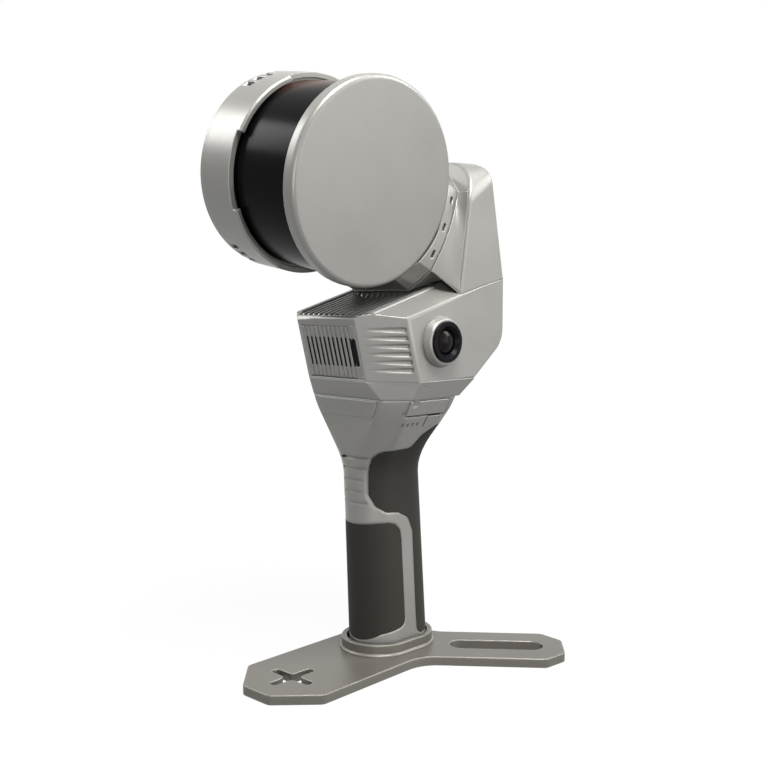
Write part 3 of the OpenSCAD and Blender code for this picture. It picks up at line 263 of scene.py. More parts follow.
def settle(piece: Piece, place: Matrix) -> None:
    """Moves a new piece to its place and writes the place into its mesh.

    Args:
        piece: The piece to move.
        place: The move from where it is.
    """
    bpy.context.view_layer.update()
    piece.matrix_world = place @ piece.matrix_world
    only(piece)
    bpy.ops.object.transform_apply(location=True, rotation=True, scale=True)


def paint(piece: Piece, material: Material) -> None:
    """Gives a piece one material.

    Args:
        piece: The mesh object to paint.
        material: Its only material.
    """
    piece.data.materials.clear()
    piece.data.materials.append(material)


def thicken(piece: Piece, wall: float, offset: float = -1.0) -> None:
    """Gives an open surface a wall.

    Args:
        piece: The surface.
        wall: Thickness in metres.
        offset: Where the wall lies, from -1 behind the surface to 1 in front of it.
    """
    solid = piece.modifiers.new("wall", "SOLIDIFY")
    solid.thickness = wall
    solid.offset = offset
    only(piece)
    bpy.ops.object.modifier_apply(modifier="wall")


# Node groups shared by the finishes


class Nodes:
    """Short way to add and link nodes in one tree."""

    def __init__(self, tree: bpy.types.NodeTree) -> None:
        """Keeps the tree.

        Args:
            tree: Node tree to add to.
        """
        self.tree = tree

    def add(self, kind: str, **values: object) -> bpy.types.Node:
        """Adds a node and sets its properties.

        Args:
            kind: Blender's name of the node type.
            values: Properties of the node.

        Returns:
            The new node.
        """
        made = self.tree.nodes.new(kind)
        for key, value in values.items():
            setattr(made, key, value)
        return made

    def link(self, source: Socket, target: Socket) -> None:
        """Links an output to an input.

        Args:
            source: The output.
            target: The input.
        """
        self.tree.links.new(source, target)

    def math(self, operation: str, a: object, b: object = 0.0, clamp: bool = False) -> Socket:
        """Adds a maths node.

        Args:
            operation: Blender's name of the operation.
            a: First socket or number.
            b: Second socket or number.
            clamp: Whether the result stays from 0 to 1.

        Returns:
            The result's socket.
        """
        made = self.add("ShaderNodeMath", operation=operation, use_clamp=clamp)
        for place, value in enumerate((a, b)):
            if isinstance(value, Socket):
                self.link(value, made.inputs[place])
            else:
                made.inputs[place].default_value = value
        return made.outputs[0]

    def mix(self, amount: Socket, low: object, high: object) -> Socket:
        """Adds a colour mix.

        Args:
            amount: Share of the second colour.
            low: First colour or socket.
            high: Second colour or socket.

        Returns:
            The mixed colour's socket.
        """
        made = self.add("ShaderNodeMix", data_type="RGBA")
        self.link(amount, made.inputs["Factor"])
        for name, value in (("A", low), ("B", high)):
            socket = next(s for s in made.inputs if s.name == name and s.type == "RGBA")
            if isinstance(value, Socket):
                self.link(value, socket)
            else:
                socket.default_value = value
        return next(s for s in made.outputs if s.type == "RGBA")


def colour(code: str) -> tuple[float, float, float, float]:
    """Linear colour of a hex code.

    Args:
        code: The code, with a hash sign and six digits.

    Returns:
        Red, green, blue and a full alpha.
    """
    parts = [int(code[i : i + 2], 16) / 255 for i in (1, 3, 5)]
    linear = [c / 12.92 if c <= 0.04045 else ((c + 0.055) / 1.055) ** 2.4 for c in parts]
    return (*linear, 1.0)


@dataclass(frozen=True)
class Effect:
    """One shader node group with named inputs and outputs."""

    name: str
    inputs: tuple[tuple[str, str, float], ...]
    outputs: tuple[tuple[str, str], ...]

    def group(self) -> tuple[bpy.types.NodeTree, Nodes, bpy.types.Node, bpy.types.Node]:
        """Makes the group with its sockets.

        Returns:
            The group, a helper on it, its input node and its output node.
        """
        tree = bpy.data.node_groups.new(self.name, "ShaderNodeTree")
        for name, kind, value in self.inputs:
            socket = tree.interface.new_socket(name, in_out="INPUT", socket_type=kind)
            if kind == "NodeSocketFloat":
                socket.default_value = value
        for name, kind in self.outputs:
            tree.interface.new_socket(name, in_out="OUTPUT", socket_type=kind)
        nodes = Nodes(tree)
        return tree, nodes, nodes.add("NodeGroupInput"), nodes.add("NodeGroupOutput")


class Effects:
    """Builds each shared effect once."""

    coarse_share: float = 0.21

    def __init__(self) -> None:
        """Builds the groups."""
        self.grain = self.build_grain()
        self.edges = self.build_edges()
        self.haze = self.build_haze()

    def build_grain(self) -> bpy.types.NodeTree:
        """Fine grain of a blasted or moulded surface, from 0 to 1."""
        effect = Effect(
            "fine_grain",
            (("Vector", "NodeSocketVector", 0.0), ("Scale", "NodeSocketFloat", 1500.0)),
            (("Shade", "NodeSocketFloat"),),
        )
        tree, nodes, start, end = effect.group()
        fine = nodes.add("ShaderNodeTexNoise")
        fine.inputs["Detail"].default_value = 3.0
        fine.inputs["Roughness"].default_value = 0.6
        coarse = nodes.add("ShaderNodeTexNoise")
        coarse.inputs["Detail"].default_value = 2.0
        for made in (fine, coarse):
            nodes.link(start.outputs["Vector"], made.inputs["Vector"])
        nodes.link(start.outputs["Scale"], fine.inputs["Scale"])
        wide = nodes.math("MULTIPLY", start.outputs["Scale"], self.coarse_share)
        nodes.link(wide, coarse.inputs["Scale"])
        both = nodes.math("MULTIPLY", nodes.math("ADD", fine.outputs[0], coarse.outputs[0]), 0.5)
        nodes.link(both, end.inputs["Shade"])
        return tree

    @staticmethod
    def build_edges() -> bpy.types.NodeTree:
        """Softened edges: a mask that is 1 along corners, which carries the painted edge highlight, and the
        rounded normal.
        """
        effect = Effect(
            "soft_edges",
            (("Radius", "NodeSocketFloat", 0.0006), ("Gain", "NodeSocketFloat", 6.0)),
            (("Edge", "NodeSocketFloat"), ("Normal", "NodeSocketVector")),
        )
        tree, nodes, start, end = effect.group()
        round_off = nodes.add("ShaderNodeBevel", samples=6)
        nodes.link(start.outputs["Radius"], round_off.inputs["Radius"])
        surface = nodes.add("ShaderNodeNewGeometry")
        turn = nodes.add("ShaderNodeVectorMath", operation="DOT_PRODUCT")
        nodes.link(round_off.outputs[0], turn.inputs[0])
        nodes.link(surface.outputs["Normal"], turn.inputs[1])
        away = nodes.math("SUBTRACT", 1.0, turn.outputs["Value"])
        nodes.link(nodes.math("MULTIPLY", away, start.outputs["Gain"], clamp=True), end.inputs["Edge"])
        nodes.link(round_off.outputs[0], end.inputs["Normal"])
        return tree

    @staticmethod
    def build_haze() -> bpy.types.NodeTree:
        """Broad, faint clouding of a handled surface, from 0 to 1."""
        effect = Effect(
            "handling_haze",
            (("Vector", "NodeSocketVector", 0.0), ("Scale", "NodeSocketFloat", 40.0)),
            (("Cloud", "NodeSocketFloat"),),
        )
        tree, nodes, start, end = effect.group()
        cloud = nodes.add("ShaderNodeTexNoise")
        cloud.inputs["Detail"].default_value = 4.0
        nodes.link(start.outputs["Vector"], cloud.inputs["Vector"])
        nodes.link(start.outputs["Scale"], cloud.inputs["Scale"])
        spread = nodes.add("ShaderNodeMapRange")
        spread.inputs["From Min"].default_value = 0.3
        spread.inputs["From Max"].default_value = 0.7
        nodes.link(cloud.outputs[0], spread.inputs["Value"])
        nodes.link(spread.outputs[0], end.inputs["Cloud"])
        return tree


# Finishes


@dataclass(frozen=True)
class Finish:
    """A surface with grain, handling haze, softened edges and a painted highlight along its edges."""

    name: str
    base: str
    deep: str
    edge_highlight: str
    metallic: float = 0.0
    rough: float = 0.45
    rough_spread: float = 0.08
    specular: float = 0.5
    grain: float = 1800.0
    bump: float = 0.05
    haze: float = 45.0
    edge_radius: float = 0.5
    highlight_share: float = 0.3
    bump_depth: float = 0.1
    grain_share: float = 0.6
    haze_share: float = 0.4

    def make(self, effects: Effects) -> Material:
        """Builds the material.

        Args:
            effects: The shared node groups.

        Returns:
            The new material.
        """
        material = bpy.data.materials.new(self.name)
        material.use_nodes = True
        nodes = Nodes(material.node_tree)
        shader = material.node_tree.nodes["Principled BSDF"]
        place = nodes.add("ShaderNodeTexCoord").outputs["Object"]
        grain = nodes.add("ShaderNodeGroup", node_tree=effects.grain)
        grain.inputs["Scale"].default_value = self.grain
        haze = nodes.add("ShaderNodeGroup", node_tree=effects.haze)
        haze.inputs["Scale"].default_value = self.haze
        edges = nodes.add("ShaderNodeGroup", node_tree=effects.edges)
        edges.inputs["Radius"].default_value = self.edge_radius * MM
        for made in (grain, haze):
            nodes.link(place, made.inputs["Vector"])
        fine = nodes.math("MULTIPLY", grain.outputs["Shade"], self.grain_share)
        broad = nodes.math("MULTIPLY", haze.outputs["Cloud"], self.haze_share)
        tone = nodes.math("ADD", fine, broad)
        body = nodes.mix(tone, colour(self.deep), self.pattern(nodes, place))
        # Painted highlight: a lighter colour mixed in along the edges, where light would catch them.
        painted_highlight = nodes.math("MULTIPLY", edges.outputs["Edge"], self.highlight_share)
        nodes.link(nodes.mix(painted_highlight, body, colour(self.edge_highlight)), shader.inputs["Base Color"])
        rough = nodes.add("ShaderNodeMapRange")
        rough.inputs["To Min"].default_value = self.rough - self.rough_spread
        rough.inputs["To Max"].default_value = self.rough + self.rough_spread
        nodes.link(tone, rough.inputs["Value"])
        nodes.link(rough.outputs[0], shader.inputs["Roughness"])
        bump = nodes.add("ShaderNodeBump")
        bump.inputs["Strength"].default_value = self.bump
        bump.inputs["Distance"].default_value = self.bump_depth * MM
        nodes.link(grain.outputs["Shade"], bump.inputs["Height"])
        nodes.link(edges.outputs["Normal"], bump.inputs["Normal"])
        nodes.link(bump.outputs[0], shader.inputs["Normal"])
        shader.inputs["Metallic"].default_value = self.metallic
        shader.inputs["Specular IOR Level"].default_value = self.specular
        return material

    def pattern(self, nodes: Nodes, place: Socket) -> object:
        """Colour of the surface before grain and the painted edge highlight.

        Args:
            nodes: Helper on the material's tree.
            place: Socket of the place on the piece.

        Returns:
            A colour, or a socket of one that changes over the surface.
        """
        return colour(self.base)


@dataclass(frozen=True)
class LensFinish(Finish):
    """Coated lens: painted rings of dark and reddish reflection round the optical axis."""

    axis_y: float = -1.7
    axis_z: float = 172.5
    reach: float = 6.6
    core: str = "#060608"
    rim: str = "#101013"
    # Stops and colours of the painted reflection rings.
    painted_reflection_rings: tuple[tuple[float, str], ...] = (
        (0.30, "#08080a"),
        (0.36, "#1f0e0c"),
        (0.44, "#140b0b"),
        (0.50, "#0a0a0c"),
        (0.66, "#0c0b0d"),
        (0.74, "#331610"),
        (0.82, "#1c0f0e"),
        (0.90, "#0d0d10"),
    )

    def pattern(self, nodes: Nodes, place: Socket) -> Socket:
        """Painted reflection rings by the distance from the optical axis, as a socket."""
        shift = nodes.add("ShaderNodeMapping")
        shift.inputs["Location"].default_value = (0, -self.axis_y * MM, -self.axis_z * MM)
        shift.inputs["Scale"].default_value = (0, 1, 1)
        nodes.link(place, shift.inputs["Vector"])
        reach = nodes.add("ShaderNodeVectorMath", operation="LENGTH")
        nodes.link(shift.outputs[0], reach.inputs[0])
        share = nodes.math("DIVIDE", reach.outputs["Value"], self.reach * MM)
        ramp = nodes.add("ShaderNodeValToRGB")
        ramp.color_ramp.elements[0].color = colour(self.core)
        ramp.color_ramp.elements[1].color = colour(self.rim)
        # Painted reflections: reddish rings laid out by distance from the axis.
        for stop, code in self.painted_reflection_rings:
            made = ramp.color_ramp.elements.new(stop)
            made.color = colour(code)
        nodes.link(share, ramp.inputs["Fac"])
        return ramp.outputs["Color"]


@dataclass(frozen=True)
class WindowFinish(Finish):
    """Dark infrared window with painted brown light at its top, as if light came through it."""

    # Colour of the painted light at the window's top.
    tint: str = "#6b4d42"
    low: float = 290.0
    high: float = 300.0

    def pattern(self, nodes: Nodes, place: Socket) -> Socket:
        """Painted brown light towards the top of the drum and black below, as a socket."""
        split = nodes.add("ShaderNodeSeparateXYZ")
        nodes.link(place, split.inputs[0])
        ramp = nodes.add("ShaderNodeMapRange", interpolation_type="SMOOTHSTEP")
        ramp.inputs["From Min"].default_value = self.low * MM
        ramp.inputs["From Max"].default_value = self.high * MM
        nodes.link(split.outputs["Z"], ramp.inputs["Value"])
        # Painted light: the brown tint rises towards the top of the drum.
        return nodes.mix(ramp.outputs[0], colour(self.base), colour(self.tint))


@dataclass
class Finishes:
    """All finishes of the scanner, built once."""

    effects: Effects
    made: dict[Slot, Material] = field(default_factory=dict)
    cast: Material | None = None

    def build(self) -> None:
        """Builds one material for each slot."""
        # Each finish gives a base, a deep and a lighter colour; the lighter one is the painted highlight
        # along its edges.
        kinds = {
            Slot.SILVER: Finish(
                "satin_silver", "#949390", "#8a8985", "#dedcd8", metallic=0.38, rough=0.36,
                specular=0.3, grain=1500.0, bump=0.06, edge_radius=0.8, highlight_share=0.5,
            ),
            Slot.PLATE: Finish(
                "warm_plate_paint", "#74716b", "#6a6761", "#d4d1cb", metallic=0.42, rough=0.36,
                specular=0.3, grain=1500.0, bump=0.06, edge_radius=1.0, highlight_share=0.6,
            ),
            Slot.FINS: Finish(
                "fin_paint", "#8c8b88", "#82817d", "#d8d6d2", metallic=0.38, rough=0.36,
                specular=0.3, grain=1500.0, edge_radius=0.35,
            ),
            Slot.RUBBER: Finish(
                "grip_rubber", "#3b3a36", "#34332f", "#4a4944", rough=0.7, specular=0.14,
                grain=2600.0, bump=0.12, highlight_share=0.2,
            ),
            Slot.WINDOW: WindowFinish(
                "infrared_window", "#08080a", "#060607", "#17171a", rough=0.24, rough_spread=0.02,
                specular=0.028, grain=600.0, bump=0.0, haze=5.0, edge_radius=0.3,
            ),
            Slot.LENS: LensFinish(
                "coated_lens", "#08080a", "#060607", "#121216", rough=0.16, rough_spread=0.02,
                specular=0.1, grain=900.0, bump=0.0,
            ),
            Slot.BLACK: Finish(
                "black_moulding", "#101012", "#0c0c0e", "#232326", rough=0.34, specular=0.06,
                grain=2200.0, bump=0.08,
            ),
            Slot.LIGHT: Finish(
                "light_pipe", "#4a4a46", "#40403d", "#62625d", rough=0.3, specular=0.3,
                grain=900.0, bump=0.01,
            ),
            Slot.STEEL: Finish(
                "turned_steel", "#b5b8bc", "#9ea1a5", "#d9dbde", metallic=0.9, rough=0.32, bump=0.04
            ),
            Slot.BRASS: Finish(
                "turned_brass", "#b59a4c", "#a0873f", "#d8c07a", metallic=0.9, rough=0.3, bump=0.04
            ),
            Slot.WRAP: Finish("cell_wrap", "#355f8a", "#2c5279", "#5f86ad", rough=0.3, bump=0.02),
            Slot.BOARD: Finish(
                "solder_mask", "#1f5a3a", "#184a2f", "#3c7a57", rough=0.38, grain=700.0, bump=0.05
            ),
            Slot.INNER: Finish(
                "machined_metal", "#7d8085", "#6d7075", "#a9acb0", metallic=0.8, rough=0.38, bump=0.04
            ),
            Slot.COPPER: Finish(
                "enamelled_wire", "#a06a3c", "#87552d", "#c98f5c", metallic=0.8, rough=0.35,
                grain=900.0, bump=0.15,
            ),
        }
        for slot, finish in kinds.items():
            self.made[slot] = finish.make(self.effects)
        cast = replace(kinds[Slot.SILVER], name="cast_silver", edge_radius=2.4, highlight_share=0.0)
        self.cast = cast.make(self.effects)

    def dress_solids(self) -> None:
        """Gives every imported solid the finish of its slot."""
        for row in frame["record"]["subparts"]:
            paint(frame["nodes"][row["node"]], self.made[Slot(row["material_slot"])])

    def fit(
        self,
        piece: Piece,
        body: Body,
        slot: Slot,
        nodes: tuple[str, ...] = (),
        material: Material | None = None,
    ) -> None:
        """Dresses a new piece and lets it ride on its body.

        Args:
            piece: The finished piece.
            body: Body that carries it.
            slot: Material slot of the record.
            nodes: Solids that it stands for.
            material: Its finish, where that isn't its slot's own.
        """
        paint(piece, material or self.made[slot])
        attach(piece, body.value)
        if nodes:
            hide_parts(*nodes)
        LOG.info("%s rides on %s", piece.name, body.value)


# Sub-assemblies


@dataclass
class BasePlate:
    """Two-legged plate and the collar that the grip stands in."""

    finishes: Finishes
    thickness: float = 5.0
    top_round: float = 1.7
    hole_round: float = 0.5
    crisp: float = 38.0
    collar_foot: float = 5.5
    collar_lip_angle: float = 50.0
    collar_lip_round: float = 0.55

    def build_plate(self) -> None:
        """Plate with its outer edges rounded and the rims of its holes eased."""
        plate = merged_copy("base_plate", "plate_body", flat=0.2)
        middle = self.thickness / 2 * MM
        outline = self.outline_walls(plate)

        def rim(edge: Edge) -> bool:
            """Says whether an edge runs round the plate's top or foot."""
            a, b = (v.co.z for v in edge.verts)
            level = abs(a - b) < SAME and abs(abs(a - middle) - middle) < 10 * SAME
            return level and edge_angle(edge) > SHARP

        def outer(edge: Edge) -> bool:
            """Says whether an edge runs round the plate's outline."""
            return rim(edge) and any(f.index in outline for f in edge.link_faces)

        round_edges(plate, self.top_round * MM, 4, outer)
        round_edges(plate, self.hole_round * MM, 3, rim)
        smooth(plate, self.crisp, flats=True)
        self.finishes.fit(plate, Body.BASE, Slot.PLATE, ("base_plate",))

    @staticmethod
    def outline_walls(plate: Piece) -> set[int]:
        """Walks round the plate's outer wall from its rightmost face.

        Args:
            plate: The merged plate.

        Returns:
            The numbers of the faces of the outer wall.
        """
        with editing(plate) as mesh:
            walls = [f for f in mesh.faces if abs(f.normal.z) < LEVEL]
            start = max(walls, key=lambda f: max(v.co.x for v in f.verts))
            found, waiting = {start.index}, [start]
            while waiting:
                wall = waiting.pop()
                for beside in (f for e in wall.edges for f in e.link_faces):
                    if abs(beside.normal.z) < LEVEL and beside.index not in found:
                        found.add(beside.index)
                        waiting.append(beside)
        return found

    def build_collar(self) -> None:
        """Collar with rounded lips."""
        collar = merged_copy("base_collar", "collar_ring", flat=0.2)
        foot = self.collar_foot * MM

        def lip(edge: Edge) -> bool:
            """Says whether an edge runs round the collar's top or its foot's step."""
            a, b = (v.co.z for v in edge.verts)
            return abs(a - b) < SAME and a > foot and edge_angle(edge) > self.collar_lip_angle

        round_edges(collar, self.collar_lip_round * MM, 4, lip)
        smooth(collar, flats=True)
        self.finishes.fit(collar, Body.BASE, Slot.PLATE, ("base_collar",))

    def build(self) -> None:
        """Builds the plate and its collar."""
        self.build_plate()
        self.build_collar()


@dataclass
class Grip:
    """Grip and neck casting with its two rubber pads and a bare name place."""

    finishes: Finishes
    crisp: float = 32.0
    plaque_top: float = 142.5
    plaque_foot: float = 133.7
    plaque_half_top: float = 23.4
    plaque_half_foot: float = 20.2
    plaque_proud: float = 0.35
    plaque_gap: float = 0.02
    plaque_round: float = 0.12
    plaque_corner: float = 2.2
    plaque_start: float = -60.0
    cuts_across: int = 24
    cuts_up: int = 5

    def build_shell(self) -> None:
        """Casting with smooth flanks, in a finish that softens its cut edges."""
        shell = merged_copy("handle_shell", "grip_casting", flat=0.2)
        smooth(shell, self.crisp)
        self.finishes.fit(shell, Body.BASE, Slot.SILVER, ("handle_shell",), self.finishes.cast)

    def build_pads(self) -> None:
        """Rubber pads with smooth flanks."""
        for node, name in (("front_grip_pad", "front_pad"), ("rear_grip_pad", "rear_pad")):
            pad = merged_copy(node, name, flat=0.2)
            smooth(pad, self.crisp)
            self.finishes.fit(pad, Body.BASE, Slot.RUBBER, (node,))

    def build_plaque(self) -> None:
        """Thin bare plate that follows the front of the neck."""
        bpy.ops.mesh.primitive_plane_add(size=1.0)
        plaque = bpy.context.active_object
        plaque.name = "neck_plaque"
        tall = (self.plaque_top - self.plaque_foot) * MM
        plaque.scale = (2 * self.plaque_half_top * MM, tall, 1.0)
        middle = Vector((0, self.plaque_start, (self.plaque_top + self.plaque_foot) / 2)) * MM
        settle(plaque, Matrix.Translation(middle) @ Matrix.Rotation(math.radians(90), 4, "X"))
        with editing(plaque) as mesh:
            bpy.ops.mesh.select_mode(type="VERT")
            foot = [v for v in mesh.verts if v.co.z < middle.z]
            for vert in foot:
                vert.select_set(True)
            bmesh.update_edit_mesh(plaque.data)
            share = self.plaque_half_foot / self.plaque_half_top
            bpy.ops.transform.resize(value=(share, 1, 1), center_override=(0, 0, 0))
            bpy.ops.mesh.bevel(offset=self.plaque_corner * MM, segments=6, affect="VERTICES")
            for step in range(1, self.cuts_across):
                bpy.ops.mesh.select_all(action="SELECT")
                x = (-1 + 2 * step / self.cuts_across) * self.plaque_half_top * MM
                bpy.ops.mesh.bisect(plane_co=(x, 0, 0), plane_no=(1, 0, 0))
            for step in range(1, self.cuts_up):
                bpy.ops.mesh.select_all(action="SELECT")
                z = self.plaque_foot * MM + step * tall / self.cuts_up
                bpy.ops.mesh.bisect(plane_co=(0, 0, z), plane_no=(0, 0, 1))
        wrap = plaque.modifiers.new("lay_on_neck", "SHRINKWRAP")
        wrap.target = frame["nodes"]["handle_shell"]
        wrap.wrap_method = "PROJECT"
        wrap.use_project_y = True
        wrap.use_positive_direction = True
        wrap.offset = self.plaque_gap * MM
        only(plaque)
        bpy.ops.object.modifier_apply(modifier="lay_on_neck")
        thicken(plaque, self.plaque_proud * MM, offset=1.0)
        round_edges(plaque, self.plaque_round * MM, 2, lambda e: edge_angle(e) > SHARP)
        smooth(plaque)
        self.finishes.fit(plaque, Body.BASE, Slot.SILVER)

    def build(self) -> None:
        """Builds the casting, the pads and the bare plaque."""
        self.build_plaque()
        self.build_shell()
        self.build_pads()


@dataclass
class CameraBody:
    """Camera body with its tray, the rails of its finned roof and black sheets of painted shade in its
    louvres.
    """

    finishes: Finishes
    half_width: float = 41.5
    crisp: float = 30.0
    corner: float = 24.0
    seam: float = 152.7
    camera_y: float = -1.7
    camera_z: float = 172.5
    camera_reach: float = 12.0
    lip_reach: float = 0.05
    side_reach: float = 0.02
    seam_reach: float = 0.1
    big_round: float = 1.7
    arm_seam: tuple[float, float] = (13.2, 196.6)
    arm_seam_slope: float = 14.0
    arm_seam_reach: tuple[float, float] = (0.3, 1.2)
    lip: tuple[float, float] = (-43.8, 185.1)
    front_foot: float = -35.5
    front_lean: float = 14.37
    roof_slope: float = 16.87
    rail_inner: float = 26.0
    rail_outer: float = 30.0
    rail_start: float = 6.6
    rail_end: float = 52.0
    rail_low: float = -0.7
    rail_top: float = 0.6
    rail_round: float = 1.1
    louvre_count: int = 11
    louvre_first: float = -16.75
    louvre_pitch: float = 3.3
    louvre_middle: float = 15.1
    # Size and depth of the black sheets of painted shade in the louvres and the slot.
    screen_size: Point = (1.66, 0.5, 14.9)
    screen_depth: float = 0.4
    slot_x: float = 18.6
    slot_shade_size: Point = (2.1, 0.5, 13.6)

    def build_housing(self) -> None:
        """Housing with its long outer edges rounded and its seams kept crisp."""
        housing = merged_copy("main_housing", "body_housing", flat=0.4)
        side = self.half_width * MM

        def outer(edge: Edge) -> bool:
            """Says whether an edge is one of the outer corners of the body's cheeks."""
            if edge_angle(edge) < self.corner:
                return False
            if all((v.co.yz - Vector(self.lip) * MM).length < self.lip_reach * MM for v in edge.verts):
                return True
            if any(abs(abs(v.co.x) - side) > self.side_reach * MM for v in edge.verts):
                return False
            mid = edge_middle(edge)
            from_camera = math.hypot(mid.y - self.camera_y * MM, mid.z - self.camera_z * MM)
            at_camera = from_camera < self.camera_reach * MM
            at_seam = all(v.co.z < (self.seam + self.seam_reach) * MM for v in edge.verts)
            return not (at_camera or at_seam or self.at_arm_seam(edge))

        round_edges(housing, self.big_round * MM, 4, outer, clamp=False)
        smooth(housing, self.crisp, flats=True)
        self.finishes.fit(housing, Body.BASE, Slot.SILVER, ("main_housing",))

    def at_arm_seam(self, edge: Edge) -> bool:
        """Says whether an edge lies on the sloping seam under the arm.

        Args:
            edge: An edge of the housing.

        Returns:
            Whether both its ends lie there.
        """
        y, z = (c * MM for c in self.arm_seam)
        back, near = (c * MM for c in self.arm_seam_reach)
        rise = math.tan(math.radians(self.arm_seam_slope))
        ends = [v.co for v in edge.verts]
        return all(c.y > y - back and abs(c.z - z - (c.y - y) * rise) < near for c in ends)

    def build_tray(self) -> None:
        """Tray under the body."""
        tray = merged_copy("lower_housing", "body_tray", flat=0.4)
        smooth(tray, self.crisp, flats=True)
        self.finishes.fit(tray, Body.BASE, Slot.SILVER, ("lower_housing",))

    @staticmethod
    def block(name: str, size: Point, middle: Point) -> Piece:
        """Adds a block.

        Args:
            name: Name of the piece.
            size: Its lengths in millimetres.
            middle: Its middle in millimetres.

        Returns:
            The new piece.
        """
        bpy.ops.mesh.primitive_cube_add(size=MM, location=Vector(middle) * MM)
        piece = bpy.context.active_object
        piece.name = name
        piece.scale = size
        settle(piece, Matrix.Identity(4))
        return piece

    def build_rail(self, side: Side) -> None:
        """Bright sloping rail along one edge of the finned roof.

        Args:
            side: Side of the body.
        """
        size = (
            self.rail_outer - self.rail_inner,
            self.rail_end - self.rail_start,
            self.rail_top - self.rail_low,
        )
        middle = (
            side.value * (self.rail_outer + self.rail_inner) / 2,
            (self.rail_end + self.rail_start) / 2,
            (self.rail_top + self.rail_low) / 2,
        )
        rail = self.block(f"roof_rail_{side.name.lower()}", size, middle)
        outer = side.value * self.rail_outer * MM
        start = self.rail_start * MM
        top = self.rail_top * MM

        def high(edge: Edge) -> bool:
            """Says whether an edge is the rail's outer or front top edge."""
            raised = all(abs(v.co.z - top) < SAME for v in edge.verts)
            outside = all(abs(v.co.x - outer) < SAME for v in edge.verts)
            ahead = all(abs(v.co.y - start) < SAME for v in edge.verts)
            return raised and (outside or ahead)

        round_edges(rail, self.rail_round * MM, 5, high)
        smooth(rail, flats=True)
        settle(rail, Matrix.Translation(Vector((0, *self.lip)) * MM)
               @ Matrix.Rotation(math.radians(self.roof_slope), 4, "X"))
        self.finishes.fit(rail, Body.BASE, Slot.SILVER)

    def build_painted_shade(self) -> None:
        """Black sheets of painted shade in the louvres and the side slot of the grille."""
        shade_pieces = []
        # Painted shade: black sheets set where the louvres' recess lies in shadow.
        for k in range(self.louvre_count):
            middle = (self.louvre_first + k * self.louvre_pitch, self.screen_depth, self.louvre_middle)
            shade_pieces.append(self.block(f"screen_{k}", self.screen_size, middle))
        slot = (self.slot_x, self.screen_depth, self.louvre_middle)
        shade_pieces.append(self.block("screen_slot", self.slot_shade_size, slot))
        only(shade_pieces[0])
        for shade_block in shade_pieces:
            shade_block.select_set(True)
        bpy.ops.object.join()
        shade_pieces[0].name = "painted_shade_louvres"
        settle(shade_pieces[0], Matrix.Translation(Vector((0, self.front_foot, self.seam)) * MM)
               @ Matrix.Rotation(math.radians(self.front_lean), 4, "X"))
        self.finishes.fit(shade_pieces[0], Body.BASE, Slot.BLACK)

    def build(self) -> None:
        """Builds the housing, the tray, the roof's rails and the louvres' sheets of painted shade."""
        self.build_housing()
        self.build_tray()
        self.build_painted_shade()
        for side in Side:
            self.build_rail(side)


